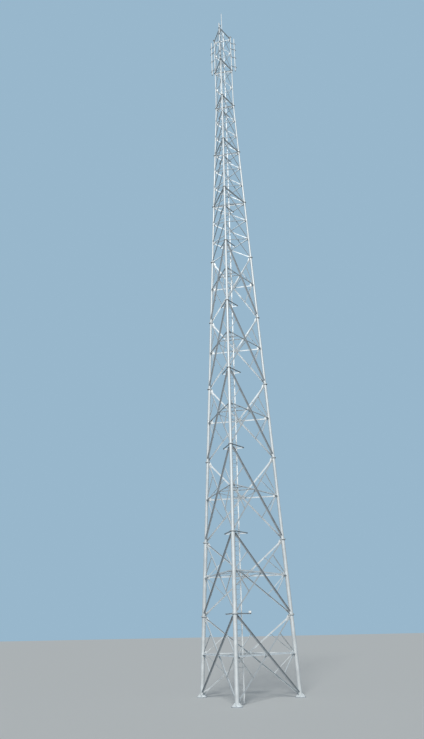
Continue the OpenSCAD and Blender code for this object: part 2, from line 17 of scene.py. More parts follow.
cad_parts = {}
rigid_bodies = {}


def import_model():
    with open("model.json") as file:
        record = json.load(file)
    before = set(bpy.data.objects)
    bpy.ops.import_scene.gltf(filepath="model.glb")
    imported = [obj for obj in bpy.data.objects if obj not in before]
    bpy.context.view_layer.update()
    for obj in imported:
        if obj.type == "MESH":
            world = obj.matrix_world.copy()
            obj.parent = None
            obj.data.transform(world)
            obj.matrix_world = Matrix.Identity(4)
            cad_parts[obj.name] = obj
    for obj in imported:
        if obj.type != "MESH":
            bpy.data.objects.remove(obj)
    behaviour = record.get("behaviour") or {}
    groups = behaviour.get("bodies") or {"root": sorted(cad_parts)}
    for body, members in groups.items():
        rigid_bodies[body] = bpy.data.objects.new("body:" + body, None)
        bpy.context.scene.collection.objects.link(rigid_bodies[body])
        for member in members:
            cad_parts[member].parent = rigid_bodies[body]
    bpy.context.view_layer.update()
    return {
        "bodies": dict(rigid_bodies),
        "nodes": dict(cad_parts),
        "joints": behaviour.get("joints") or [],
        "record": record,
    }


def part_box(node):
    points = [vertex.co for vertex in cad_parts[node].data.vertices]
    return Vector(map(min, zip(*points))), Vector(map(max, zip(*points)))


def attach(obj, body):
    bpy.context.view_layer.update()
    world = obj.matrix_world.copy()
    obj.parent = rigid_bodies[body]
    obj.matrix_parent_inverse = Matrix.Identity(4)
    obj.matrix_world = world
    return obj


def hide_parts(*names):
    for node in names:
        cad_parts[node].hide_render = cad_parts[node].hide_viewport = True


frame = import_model()
nodes = frame["nodes"]

# %% [markdown]
# ## Camera
#
# The photograph was taken from a rise beside the tower, 38 m away at full size, looking up at 24
# degrees. A camera is a point and three turns: first a small roll about its own line of sight,
# then the tilt up, then the heading. Written as a product of rotation matrices they can't be mixed
# up.

# %% Camera
camera_place = Vector((3.119, -19.203, 1.935))
camera_heading = math.radians(10.752)
camera_pitch = math.radians(24.169)
camera_roll = math.radians(1.213)
camera_lens_mm = 28.71
camera_sensor_mm = 36.0


def make_camera():
    """A camera whose axes are heading about Z, times pitch about X, times roll about its own Z."""
    data = bpy.data.cameras.new("photo_camera")
    data.sensor_width = camera_sensor_mm
    data.lens = camera_lens_mm
    data.clip_end = 2000.0
    camera = bpy.data.objects.new("photo_camera", data)
    turn = (
        Matrix.Rotation(camera_heading, 4, "Z")
        @ Matrix.Rotation(math.radians(90) + camera_pitch, 4, "X")
        @ Matrix.Rotation(-camera_roll, 4, "Z")
    )
    camera.matrix_world = Matrix.Translation(camera_place) @ turn
    bpy.context.scene.collection.objects.link(camera)
    bpy.context.scene.camera = camera
    return camera


make_camera()
print("camera at", tuple(camera_place))

# %% [markdown]
# ## Light and stage
#
# The steel reads by contrast: sunlit fronts, slate undersides and shaded flanges. One large soft
# sun from the front gives that, with a weak light from the world. The floor is one big square. It
# shows its pale colour to the camera only, and is darker for the light that it throws back, so
# that the undersides of the bars stay dark as they are over open ground.

# %% Light and stage
sun_from = Vector((0.043, -0.808, 0.588))
sun_strength = 2.5
sun_softness = math.radians(16.0)
sun_colour = (1.0, 0.97, 0.92)
world_light = (0.15, 0.185, 0.22)
backdrop = (0.315, 0.474, 0.605)
floor_pale = (0.66, 0.69, 0.70)
floor_bounce = (0.16, 0.17, 0.17)
floor_half = 400.0


def add_node(tree, kind, inputs, **settings):
    """A new node, where each input is a number, a colour or the output of another node."""
    node = tree.nodes.new(kind)
    for key, value in settings.items():
        setattr(node, key, value)
    for key, value in inputs.items():
        if isinstance(value, bpy.types.NodeSocket):
            tree.links.new(value, node.inputs[key])
        else:
            node.inputs[key].default_value = value
    return node


def maths(tree, operation, first, second):
    """One sum on two values."""
    node = add_node(tree, "ShaderNodeMath", {0: first, 1: second}, operation=operation)
    return node.outputs[0]


def empty_tree(owner):
    """The node tree of a world or a material, with nothing in it."""
    owner.use_nodes = True
    owner.node_tree.nodes.clear()
    return owner.node_tree


def make_sun():
    """A sun lamp that shines from its direction towards the origin."""
    data = bpy.data.lights.new("sun", "SUN")
    data.energy, data.angle, data.color = sun_strength, sun_softness, sun_colour
    lamp = bpy.data.objects.new("sun", data)
    lamp.rotation_mode = "QUATERNION"
    lamp.rotation_quaternion = sun_from.to_track_quat("Z", "Y")
    bpy.context.scene.collection.objects.link(lamp)


def seen_by_camera(tree):
    """A factor of 1 for camera, glossy and transmission rays, and 0 for rays that only light."""
    rays = add_node(tree, "ShaderNodeLightPath", {}).outputs
    seen = maths(tree, "MAXIMUM", rays["Is Camera Ray"], rays["Is Glossy Ray"])
    return maths(tree, "MAXIMUM", seen, rays["Is Transmission Ray"])


def make_world():
    """A world that lights with one colour and shows another to the camera."""
    world = bpy.data.worlds.new("soft_sky")
    tree = empty_tree(world)
    light, shown = (
        add_node(tree, "ShaderNodeBackground", {"Color": (*colour, 1)}).outputs[0]
        for colour in (world_light, backdrop)
    )
    mix = add_node(tree, "ShaderNodeMixShader", {0: seen_by_camera(tree), 1: light, 2: shown})
    add_node(tree, "ShaderNodeOutputWorld", {0: mix.outputs[0]})
    bpy.context.scene.world = world


def make_floor():
    """One square on Z = 0, pale to the camera and darker in what it throws back."""
    mesh = bpy.data.meshes.new("studio_floor")
    side = floor_half
    corners = [(-side, -side, 0), (side, -side, 0), (side, side, 0), (-side, side, 0)]
    mesh.from_pydata(corners, [], [(0, 1, 2, 3)])
    material = bpy.data.materials.new("studio_floor")
    tree = empty_tree(material)
    colours = {"Factor": seen_by_camera(tree), "A": (*floor_bounce, 1), "B": (*floor_pale, 1)}
    mix = add_node(tree, "ShaderNodeMix", colours, data_type="RGBA")
    matt = add_node(tree, "ShaderNodeBsdfDiffuse", {"Color": mix.outputs["Result"]})
    add_node(tree, "ShaderNodeOutputMaterial", {"Surface": matt.outputs[0]})
    mesh.materials.append(material)
    floor = bpy.data.objects.new("studio_floor", mesh)
    bpy.context.scene.collection.objects.link(floor)


bpy.context.scene.view_settings.view_transform = "Standard"
make_sun()
make_world()
make_floor()
print("sun, world and floor are set")

# %% [markdown]
# ## Weathered zinc
#
# Hot-dip galvanising leaves a skin of zinc crystals. In the weather it turns matt and pale, with
# cloudy patches, and rain draws faint streaks down it. The material is built in layers, and each
# one reads Object coordinates, so a pattern has its real size everywhere: crystals of about a
# centimetre, clouds of a hand's breadth, and streaks stretched along Z.

# %% Zinc material
crystal_scale, cloud_scale, streak_scale = 110.0, 5.0, (26.0, 26.0, 1.1)
noise_low, noise_high = 0.3, 0.7
bump_strength, bump_depth = 0.25, 0.0006


def zinc(name, colour, metallic, rough, cloud, spangle, streak):
    """Base colour times clouds, streaks and crystals, each in a narrow band round 1."""
    material = bpy.data.materials.new(name)
    material.use_nodes = True
    tree = material.node_tree
    shader = tree.nodes["Principled BSDF"]
    place = add_node(tree, "ShaderNodeTexCoord", {}).outputs["Object"]

    def noise(vector, scale, detail):
        """Fractal noise, from 0 to 1 round a half."""
        inputs = {"Vector": vector, "Scale": scale, "Detail": detail}
        return add_node(tree, "ShaderNodeTexNoise", inputs).outputs["Fac"]

    def band(value, low, high, start=noise_low, end=noise_high):
        """A value pressed from start to end into the band from low to high."""
        span = {"Value": value, "From Min": start, "From Max": end, "To Min": low, "To Max": high}
        return add_node(tree, "ShaderNodeMapRange", span).outputs[0]

    crystals = add_node(tree, "ShaderNodeTexVoronoi", {"Scale": crystal_scale, "Vector": place})
    grain = add_node(tree, "ShaderNodeSeparateColor", {0: crystals.outputs["Color"]}).outputs[0]
    clouds = noise(place, cloud_scale, 6.0)
    stretched = add_node(tree, "ShaderNodeMapping", {"Vector": place, "Scale": streak_scale})
    streaks = noise(stretched.outputs[0], 1.0, 4.0)
    layers = band(clouds, 1 - cloud, 1 + cloud), band(streaks, 1 - streak, 1 + streak)
    shade = maths(tree, "MULTIPLY", *layers)
    shade = maths(tree, "MULTIPLY", shade, band(grain, 1 - spangle, 1 + spangle, 0.0, 1.0))
    grey = add_node(tree, "ShaderNodeCombineColor", {0: shade, 1: shade, 2: shade}).outputs[0]
    factors = {"Factor": 1.0, "A": (*colour, 1), "B": grey}
    tint = add_node(tree, "ShaderNodeMix", factors, data_type="RGBA", blend_type="MULTIPLY")
    relief = {"Strength": bump_strength, "Distance": bump_depth}
    relief["Height"] = crystals.outputs["Distance"]
    normal = add_node(tree, "ShaderNodeBump", relief).outputs[0]
    tree.links.new(tint.outputs["Result"], shader.inputs["Base Color"])
    tree.links.new(band(clouds, rough - 0.08, rough + 0.1), shader.inputs["Roughness"])
    tree.links.new(normal, shader.inputs["Normal"])
    shader.inputs["Metallic"].default_value = metallic
    return material


leg_zinc = zinc("leg_zinc", (0.80, 0.84, 0.86), 0.25, 0.5, 0.07, 0.05, 0.05)
angle_zinc = zinc("angle_zinc", (0.73, 0.78, 0.81), 0.25, 0.52, 0.08, 0.06, 0.05)
# A darker zinc for the outer diagonals of the front faces: painted shade, as if their standing
# flanges always shaded them.
shade_painted_zinc = zinc("shade_painted_zinc", (0.54, 0.59, 0.63), 0.25, 0.56, 0.09, 0.06, 0.06)
fitting_zinc = zinc("fitting_zinc", (0.46, 0.51, 0.55), 0.3, 0.5, 0.10, 0.06, 0.05)
bolt_zinc = zinc("bolt_zinc", (0.42, 0.44, 0.45), 0.35, 0.5, 0.14, 0.05, 0.04)
weld_zinc = zinc("weld_zinc", (0.70, 0.73, 0.75), 0.25, 0.55, 0.10, 0.04, 0.04)
lamp_white = zinc("lamp_white", (0.88, 0.90, 0.90), 0.0, 0.4, 0.02, 0.0, 0.03)

slot_material = {
    "galvanised_leg": leg_zinc,
    "galvanised_angle": angle_zinc,
    "galvanised_fitting": fitting_zinc,
    "lamp_white": lamp_white,
}
for part in frame["record"]["subparts"]:
    node = nodes[part["node"]]
    node.data.materials.clear()
    node.data.materials.append(slot_material[part["material_slot"]])
print("materials on", len(nodes), "nodes")

# %% [markdown]
# ## The tower's own numbers
#
# Every added piece has to meet the steel that is already there, so the lesson starts from the same
# few numbers as the construction: the distance between two legs, which falls along a straight line
# up to the kink, the heights of the flanged joints, the tube of each leg section and the width of
# its bars. All sizes are in millimetres, as on a workshop drawing, and the last step of each mesh
# turns them into metres.

# %% Sizes of the tower
leg_gap_base, leg_gap_top = 3290.0, 870.0
taper_h, top_h = 26000.0, 31000.0
level_h = np.array([0, 2500, 5000, 8000, 11000, 14000, 17000, 20000, 23000, 26000, 28500, 31000.0])
tube_d = np.array([137, 137, 110, 110, 97, 97, 84, 84, 70, 57, 57.0])
diagonal_w = np.array([50, 50, 55, 55, 55, 55, 40, 40, 40, 32, 32.0])
panel_count = np.array([1, 1, 1, 1, 1, 1, 3, 3, 3, 2, 2])
tier_start = (0, 3, 6, 9, 11)
close_from, kink = 6, 9
flange_t, flange_reach = 14.0, 34.0
gusset_t, bar_t, bar_gap = 6.0, 4.0, 8.0
seat = gusset_t / 2 + 0.3
leg_azimuth = (-90.0, 30.0, 150.0)
face_azimuth = (60.0, 180.0, -60.0)
sides = ("front", "right", "left")
face_names = ("right", "back", "left")
tier_names = ("lower", "middle", "upper", "head")
root3 = math.sqrt(3)


def leg_radius(z):
    """Distance of a leg from the tower axis: the gap between two legs over the root of three."""
    gap = leg_gap_base + (leg_gap_top - leg_gap_base) * min(z, taper_h) / taper_h
    return gap / root3


axis_y = leg_radius(0)
leg_lean = math.atan((leg_radius(0) - leg_radius(taper_h)) / taper_h)
face_lean = math.atan((leg_radius(0) - leg_radius(taper_h)) / 2 / taper_h)
leans = [round(math.degrees(lean), 2) for lean in (leg_lean, face_lean)]
print("lean of the legs and the faces, degrees:", *leans)

# %% [markdown]
# Two frames of reference carry everything. One sits on a leg, with Z along the tube and X away from
# the tower. The other lies in a face, with X along it, Y up its slope and Z outwards. Each is a
# product of simple moves and turns, as a 4 by 4 matrix.

# %% Frames on a leg and in a face


def moved(x, y, z):
    """The matrix that moves by x, y and z."""
    return np.array(Matrix.Translation((x, y, z)))


def turned(axis, degrees):
    """The matrix that turns about one axis."""
    return np.array(Matrix.Rotation(math.radians(degrees), 4, axis))


def on_leg(leg, z, lean=None):
    """Tower axis, heading of the leg, out to its radius, then its lean."""
    if lean is None:
        lean = 0 if z >= taper_h else leg_lean
    return (
        moved(0, axis_y, z) @ turned("Z", leg_azimuth[leg])
        @ moved(leg_radius(z), 0, 0) @ turned("Y", -math.degrees(lean))
    )


def on_face(face, z):
    """Tower axis, heading of the face, out to its middle, then up its slope."""
    lean = 0 if z >= taper_h else math.degrees(face_lean)
    return (
        moved(0, axis_y, z) @ turned("Z", face_azimuth[face])
        @ moved(0, -leg_radius(z) / 2, 0) @ turned("X", 90 - lean)
    )


def carried(frames, points):
    """Points times the turn of each frame plus its place: a whole array of copies at once."""
    frames = np.asarray(frames)
    return np.einsum("mij,nj->mni", frames[:, :3, :3], points) + frames[:, None, :3, 3]


def at(frame, x, y, z):
    """A point given in a frame: the frame's turn times the point, plus its place."""
    return frame[:3, 3] + frame[:3, :3] @ [x, y, z]


def faces_beside(leg):
    """The two faces that meet at a leg, and the side on which the leg stands in each."""
    return ((leg + 2) % 3, 1), (leg, -1)


print("front leg at the kink:", np.round(on_leg(0, taper_h - 1)[:3, 3]))

# %% [markdown]
# ## One mesh out of many bodies
#
# A steel tower is a few shapes, repeated hundreds of times. Each shape is worked out once as arrays
# of points and faces, its copies are laid end to end in one array, and the whole array becomes one
# mesh. Nearly every shape here is a tube of layers: an outline of n points, repeated from layer to
# layer, with a wall between two layers and a cap at both ends.

# %% Mesh helpers


def repeated(faces, copies, step):
    """Face numbers of a shape for all its copies: each copy's numbers start one step later."""
    faces = np.asarray(faces)
    return (faces[None] + np.arange(copies)[:, None, None] * step).reshape(-1, faces.shape[-1])


def tube_faces(n, layers):
    """Walls and caps of a tube: from point k of a layer to k + 1, and up one layer by n."""
    layer, k = np.meshgrid(np.arange(layers - 1), np.arange(n), indexing="ij")
    here, following = layer * n + k, layer * n + (k + 1) % n
    walls = np.stack([here, following, following + n, here + n], -1).reshape(-1, 4)
    k = np.arange(n)
    return walls, np.stack([k[::-1], k + (layers - 1) * n])


def tubes(points, n, inside_out=None):
    """Copies of a tube as bodies; faces of those that are inside out are turned round."""
    walls, caps = tube_faces(n, points.shape[1] // n)
    if inside_out is None:
        inside_out = np.zeros(len(points), bool)
    bodies = []
    for flip, turn in ((False, 1), (True, -1)):
        chosen = points[inside_out == flip]
        if len(chosen):
            faces = [repeated(f[:, ::turn], len(chosen), chosen.shape[1]) for f in (walls, caps)]
            bodies.append((chosen, faces))
    return bodies


def make_piece(name, bodies, material, smooth=None, replaces=()):
    """One object out of bodies, each its points and a list of face arrays of equal corners."""
    points, corners, sizes, first = [], [], [], 0
    for body_points, face_arrays in bodies:
        body_points = np.asarray(body_points).reshape(-1, 3)
        points.append(body_points)
        for faces in face_arrays:
            corners.append((faces + first).ravel())
            sizes.append(np.full(len(faces), faces.shape[1]))
        first += len(body_points)
    points = np.concatenate(points) / 1000
    corners = np.concatenate(corners).astype(np.int32)
    sizes = np.concatenate(sizes)
    mesh = bpy.data.meshes.new(name)
    mesh.vertices.add(len(points))
    mesh.vertices.foreach_set("co", points.astype(np.float32).ravel())
    mesh.loops.add(len(corners))
    mesh.loops.foreach_set("vertex_index", corners)
    mesh.polygons.add(len(sizes))
    mesh.polygons.foreach_set("loop_start", (np.cumsum(sizes) - sizes).astype(np.int32))
    mesh.update(calc_edges=True)
    if smooth:
        mesh.shade_smooth()
        mesh.set_sharp_from_angle(angle=math.radians(smooth))
    else:
        mesh.shade_flat()
    mesh.materials.append(material)
    piece = bpy.data.objects.new(name, mesh)
    bpy.context.scene.collection.objects.link(piece)
    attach(piece, "root")
    for node in replaces:
        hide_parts(node)
    print(f"{name}: {len(sizes)} faces, {int((sizes - 2).sum())} triangles")
    return piece


# %% [markdown]
# ## Rolled angle bars
#
# Angle bars come out of a rolling mill, so their section isn't two plain strips: the heel is sharp,
# the inner corner has a round fillet and the toes are rounded on the inside. The section is written
# once in shares of the flange widths and the thickness. A bar then needs its two ends and two
# directions: along its flat flange, and the way its other flange stands.

# %% Rolled angle section
toe_r, fillet_r = 0.55, 1.1


def arc(centre, radius, start, end, steps):
    """Points on an arc: the centre plus the radius times cosine and sine, angle to angle."""
    angle = np.radians(np.linspace(start, end, steps))
    ring = np.stack([np.cos(angle), np.sin(angle)], -1)
    return np.asarray(centre) + radius * ring


stand_toe = arc((toe_r - 1, -toe_r), toe_r, 90, 180, 4)
fillet = arc((-1 - fillet_r, 1 + fillet_r), fillet_r, 0, -90, 5)
flat_toe = arc((toe_r, 1 - toe_r), toe_r, 90, 180, 4)
section_share = np.array(
    [[-0.5, 0, 0, 0], [0.5, 0, 0, 0], [0.5, 0, 1, 0]]
    + [[0.5, u, 1, v] for u, v in stand_toe]
    + [[0.5, u, 0, v] for u, v in fillet]
    + [[-0.5, u, 0, v] for u, v in flat_toe]
)
section_n = len(section_share)


def rolled_bars(rows):
    """Bars from rows of start, end, flat direction, standing direction, both widths, thickness.

    A point of the section is share * width + share * thickness along each direction, and the bar
    carries that section straight from its start to its end."""
    start, end, across, out = (np.array([row[k] for row in rows]) for k in range(4))
    flat, stand, thick = (np.array([row[k] for row in rows])[:, None] for k in (4, 5, 6))
    u = section_share[:, 0] * flat + section_share[:, 1] * thick
    v = section_share[:, 2] * stand + section_share[:, 3] * thick
    ring = u[..., None] * across[:, None] + v[..., None] * out[:, None]
    points = np.concatenate([start[:, None] + ring, end[:, None] + ring], 1)
    return tubes(points, section_n, np.einsum("ij,ij->i", np.cross(across, out), end - start) < 0)


print("section of", section_n, "points")

# %% [markdown]
# ## Plates, rings and bolts
#
# A plate is an outline given a thickness. A ring is a small outline carried round a circle, which
# also serves for weld seams, and its radius may ripple as a welder's bead does. A bolt shows its
# head and washer on one side and its nut, washer and stud end on the other; the shank is out of
# sight. All are closed bodies of a few dozen faces.

# %% Plates, rings and bolts
edge_in, edge_up = 0.7, 0.5


def placed(frames, local):
    """A separate set of points for each frame, turned and moved by it."""
    turns, places = frames[:, :3, :3], frames[:, None, :3, 3]
    return np.einsum("mij,mnj->mni", turns, local) + places


def plates(outlines, frames, low, high):
    """Outlines in their frames, from a low to a high Z, with the edges broken a little.

    The outlines run counter-clockwise, so those whose area, half the sum of x * y' - x' * y, is
    negative are turned round."""
    outlines = np.asarray(outlines, float)
    m, n = outlines.shape[:2]
    x, y = outlines[..., 0], outlines[..., 1]
    area = np.sum(x * np.roll(y, -1, 1) - np.roll(x, -1, 1) * y, 1)
    outlines = np.where((area < 0)[:, None, None], outlines[:, ::-1], outlines)
    middle = outlines.mean(1, keepdims=True)
    away = outlines - middle
    reach = np.maximum(np.linalg.norm(away, axis=-1, keepdims=True), 1)
    inner = middle + away * (1 - edge_in / reach)
    layers = [(inner, low), (outlines, low + edge_up), (outlines, high - edge_up), (inner, high)]
    local = np.concatenate(
        [np.concatenate([o, np.full((m, n, 1), z)], -1) for o, z in layers], 1
    )
    return tubes(placed(np.asarray(frames), local), n)


def rings(frames, radii, profile, steps, ripple=0.0, waves=0):
    """A closed outline of (outwards, up) points carried round: x is (radius + outwards) * cosine,
    y the same times sine, and the outline swells by the ripple that many times round."""
    radii, profile = np.asarray(radii, float), np.asarray(profile, float)
    angle = np.arange(steps) * 2 * np.pi / steps
    swell = 1 + ripple * np.cos(angle * waves)
    out = radii[:, None, None] + profile[None, None, :, 0] * swell[None, :, None]
    up = np.broadcast_to(profile[None, None, :, 1] * swell[None, :, None], out.shape)
    across, ahead = np.cos(angle)[None, :, None], np.sin(angle)[None, :, None]
    local = np.stack([out * across, out * ahead, up], -1)
    m, n = len(frames), len(profile)
    points = placed(np.asarray(frames), local.reshape(m, steps * n, 3))
    s, k = np.meshgrid(np.arange(steps), np.arange(n), indexing="ij")
    s2, k2 = (s + 1) % steps, (k + 1) % n
    walls = np.stack([s * n + k, s2 * n + k, s2 * n + k2, s * n + k2], -1).reshape(-1, 4)
    return [(points, [repeated(walls, m, steps * n)])]


def turned_solids(frames, corners, profile):
    """Solids of a few sides: each profile point is a radius and a height."""
    angle = (np.arange(corners) + 0.5) * 2 * np.pi / corners
    profile = np.asarray(profile, float)
    points = np.stack([
        profile[:, :1] * np.cos(angle), profile[:, :1] * np.sin(angle),
        np.repeat(profile[:, 1:], corners, 1),
    ], -1).reshape(-1, 3)
    return tubes(carried(frames, points), corners)


washer = (12, [(1.0, 0.0), (1.0, 0.15)])
bolt_head = (6, [(0.88, 0.14), (0.88, 0.68), (0.76, 0.8)])
bolt_nut = (6, [(0.88, 0.14), (0.88, 0.86), (0.78, 0.96)])
bolt_stud = (8, [(0.48, 0.9), (0.48, 1.22), (0.36, 1.32)])


def bolt_ends(frames, sizes, solids):
    """Copies of a few small solids, each scaled by the bolt's own size."""
    scaled = np.array(frames)
    scaled[:, :3, :3] *= np.asarray(sizes, float)[:, None, None]
    return [body for solid in solids for body in turned_solids(scaled, *solid)]


def bolts(rows):
    """Bolts from rows of frame, x, y, nut side Z, head side Z and size, each turned otherwise."""
    head, nut, sizes = [], [], []
    for frame, x, y, low, top, size in rows:
        spin = (x * 7.3 + y * 3.1) % 60
        head.append(frame @ moved(x, y, top) @ turned("Z", spin))
        nut.append(frame @ moved(x, y, low) @ turned("X", 180) @ turned("Z", spin * 1.7))
        sizes.append(size)
    return bolt_ends(head, sizes, [washer, bolt_head]) + bolt_ends(
        nut, sizes, [washer, bolt_nut, bolt_stud]
    )


print("plates, rings and bolts are ready")

# %% [markdown]
# ## The panels of a face
#
# Each section of a face is one tall crossed panel, from 17 m up three close ones, and in the head
# two. The diagonals aim at points on the leg axes, stop clear of the tubes and lie flat on the
# gussets, one outside and one inside, so that they pass each other at the crossing. The same
# heights are worked out here as in the construction, so that the rolled bars land on its gussets.

# %% Heights in a section
foot_node, joint_node, ring_node, top_ring_node = 70.0, 8.0, 68.0, 200.0


def section_length(i):
    """Height of a section, measured up the slope of its face."""
    return (level_h[i + 1] - level_h[i]) / math.cos(0 if i >= kink else face_lean)


def half_gap(i, y):
    """Half the distance between the leg axes, at a height up the face of a section."""
    if i >= kink:
        return leg_gap_top / 2
    z = level_h[i] + y * math.cos(face_lean)
    return (leg_gap_base + (leg_gap_top - leg_gap_base) * z / taper_h) / 2


def top_node(i):
    """How far the upper nodes lie below the joint: under the ring bar, where there is one."""
    return top_ring_node if i == 10 else ring_node if i + 1 > close_from else joint_node


def panel_y(i, k):
    """Height of a panel's lower nodes; the last one is the section's upper node."""
    if k == 0:
        return foot_node if i == 0 else joint_node
    if k == panel_count[i]:
        return section_length(i) - top_node(i)
    return k * section_length(i) / panel_count[i]


def crossing(i, k):
    """The diagonals of a trapezium cross where its height is shared as its two widths are."""
    low, high = panel_y(i, k), panel_y(i, k + 1)
    wide, narrow = half_gap(i, low), half_gap(i, high)
    return low + (high - low) * wide / (wide + narrow)


def slope(i, k):
    """Angle of the diagonals above the level."""
    low, high = panel_y(i, k), panel_y(i, k + 1)
    return math.atan2(high - low, half_gap(i, low) + half_gap(i, high))


print("crossings:", [round(crossing(i, 0)) for i in range(11)])

# %% [markdown]
# A bar is laid down by its two ends in the face, the side of the plates it lies on and the edge
# where its other flange stands. Bolts follow it: they sit at set distances from its end, a little
# off the middle, clear of the fillet. The outer diagonals of the front faces' tall panels are kept
# in a list of their own: they get a darker zinc, which is painted shade from their standing
# flanges.

# %% Lay bars, plates and bolts in a face
bolt_off = 0.9 * bar_t
cut_bolts = (14, 38)


def new_work():
    """Empty lists for the bars, the outer bars darkened with painted shade, the plates and the
    bolts.
    """
    return {"bars": [], "shade_painted_bars": [], "plates": {}, "bolts": []}


def lay_level(work, frame, p, q, across, out, flat, thick=bar_t, stand=None, rows="bars"):
    """A bar between two points of any frame, with its two directions given in it."""
    turn = frame[:3, :3]
    work[rows].append((
        at(frame, *p), at(frame, *q), turn @ across, turn @ out, flat, stand or flat, thick,
    ))


def lay_bar(work, frame, p, q, flat, outer, low=False, stand=None, rows="bars"):
    """From p to q, with the flat flange's direction a quarter turn from the bar's own."""
    p, q = np.asarray(p, float), np.asarray(q, float)
    along = (q - p) / np.linalg.norm(q - p)
    up = np.array([-along[1], along[0]]) * (-1 if low else 1)
    out = 1.0 if outer else -1.0
    ends = (*p, out * seat), (*q, out * seat)
    lay_level(work, frame, *ends, [*up, 0], [0, 0, out], flat, stand=stand, rows=rows)
    return along, up


def fix_end(work, frame, end, along, up, outer, distances, size):
    """Bolts at the distances from an end, moved a little off the standing flange."""
    grip = (-gusset_t / 2, seat + bar_t) if outer else (-seat - bar_t, gusset_t / 2)
    for distance in distances:
        x, y = np.asarray(end) + along * distance - up * bolt_off
        work["bolts"].append((frame, x, y, *grip, size))


def lay_plate(work, frame, outline, low, high):
    """An outline with its frame; outlines of equal corners and thickness are kept together."""
    work["plates"].setdefault((len(outline), low, high), []).append((outline, frame))


def oblong(w, h, x=0, y=0):
    """A rectangle of half widths w and h round a middle, counter-clockwise."""
    return [(x - w, y - h), (x + w, y - h), (x + w, y + h), (x - w, y + h)]


def fill_plate(work, frame, outline):
    """A plate that fills the space between the bars of both sides."""
    lay_plate(work, frame, outline, -seat + 0.05, seat - 0.05)


def plate_bodies(work):
    """All plates of one piece as bodies."""
    bodies = []
    for (_, low, high), rows in work["plates"].items():
        bodies += plates([row[0] for row in rows], [row[1] for row in rows], low, high)
    return bodies


def clear_start(p, q, b, r):
    """The first point from p to q that is clear of the tube and of the next face's bar."""
    p, q = np.asarray(p, float), np.asarray(q, float)
    d = (q - p) / np.linalg.norm(q - p)
    c, s = abs(d[0]), abs(d[1])
    return p + d * (max(r, (seat + b) * root3 - b * s) + bar_gap + b / 2 * s) / c


def lay_diagonal(work, frame, line, b, r, outer, low, bolt_rule, rows, stop=None):
    """A diagonal with bolts at both ends, or its two halves that stop short of the crossing."""
    size, distances = bolt_rule
    p, q = line
    start, end = clear_start(p, q, b, r), clear_start(q, p, b, r)
    if stop is None:
        along, up = lay_bar(work, frame, start, end, b, outer, low, rows=rows)
    else:
        middle, gap = stop
        d = (end - start) / np.linalg.norm(end - start)
        along, up = lay_bar(work, frame, start, middle - d * gap, b, outer, low)
        lay_bar(work, frame, middle + d * gap, end, b, outer, low)
        fix_end(work, frame, middle - d * gap, -along, up, outer, cut_bolts, size)
        fix_end(work, frame, middle + d * gap, along, up, outer, cut_bolts, size)
    fix_end(work, frame, start, along, up, outer, distances, size)
    fix_end(work, frame, end, -along, up, outer, distances, size)
    return along


print("helpers for the faces are ready")

# %% [markdown]
# A tall panel also has level bars on both sides of its crossing and four short bars from the level
# bars' ends to the middles of the diagonals. On the back face, one diagonal of a tall panel runs
# through and the other is cut, because there both lie outside.

# %% Crossed panels
level_w, second_w, frame_w = 45.0, 25.0, 32.0
ear_reach = 130.0
level_drop, back_level_drop = 9.0, 30.0
level_inner_bolts, level_outer_bolts, level_bolt = (13, 32), (16, 44), 8
crossing_plate_past, crossing_plate_h = 42, 70
second_start, second_lift, second_lower = 0.45, 0.8, 8
second_bolt, second_bolt_at, quarter_bolt_at, quarter_half = 6, (12,), 9, 17.5
tall_bolts, close_bolts, head_bolts = (9, (16, 44, 72)), (8, (14, 38)), (7, (12, 33))


def octagon(w, h, y):
    """A plate's outline: full width over the middle half of its height, half of it at the ends."""
    return [
        (-w, y - h / 2), (-w / 2, y - h), (w / 2, y - h), (w, y - h / 2),
        (w, y + h / 2), (w / 2, y + h), (-w / 2, y + h), (-w, y + h / 2),
    ]


def level_bars(work, frame, face, i):
    """The two level bars beside the crossing of a tall panel, and the plate behind them."""
    yc, angle = crossing(i, 0), slope(i, 0)
    y = yc - (back_level_drop if face == 1 and i >= 2 else level_drop)
    rise = yc - y + level_w / 2 + diagonal_w[i] / 2 / math.cos(angle)
    inner = rise / math.tan(angle) + 4
    outer_end = half_gap(i, y) - tube_d[i] / 2 - bar_gap
    for side in (-1, 1):
        p, q = sorted([(side * outer_end, y), (side * inner, y)])
        _, up = lay_bar(work, frame, p, q, level_w, True, face != 1)
        for x, towards, distances in (
            (inner, side, level_inner_bolts), (outer_end, -side, level_outer_bolts)
        ):
            along = np.array([towards, 0.0])
            fix_end(work, frame, (side * x, y), along, up, True, distances, level_bolt)
    fill_plate(work, frame, octagon(inner + crossing_plate_past, crossing_plate_h, yc))


def short_bars(work, frame, i, rising, both):
    """The four short bars, each from a level bar's gusset to the middle of a half diagonal."""
    yc = crossing(i, 0)
    start = tube_d[i] / 2 + ear_reach * second_start
    lift = level_w / 2 + second_w * second_lift
    for side in (-1, 1):
        for up_down in (-1, 1):
            node = panel_y(i, 1) if up_down > 0 else panel_y(i, 0)
            quarter = np.array([side * half_gap(i, node) / 2, (node + yc) / 2])
            foot_y = yc + up_down * lift - (up_down < 0) * second_lower
            foot = np.array([side * (half_gap(i, yc) - start), foot_y])
            outer = not both and (side * up_down > 0) != rising
            p, q = (foot, quarter) if side < 0 else (quarter, foot)
            along, up = lay_bar(work, frame, p, q, second_w, outer)
            towards = along if side < 0 else -along
            fix_end(work, frame, foot, towards, up, outer, second_bolt_at, second_bolt)
            x, y = quarter - towards * quarter_bolt_at - up * bolt_off
            work["bolts"].append((frame, x, y, -seat - bar_t, seat + bar_t, second_bolt))
            fill_plate(work, frame, oblong(quarter_half, quarter_half, *quarter))


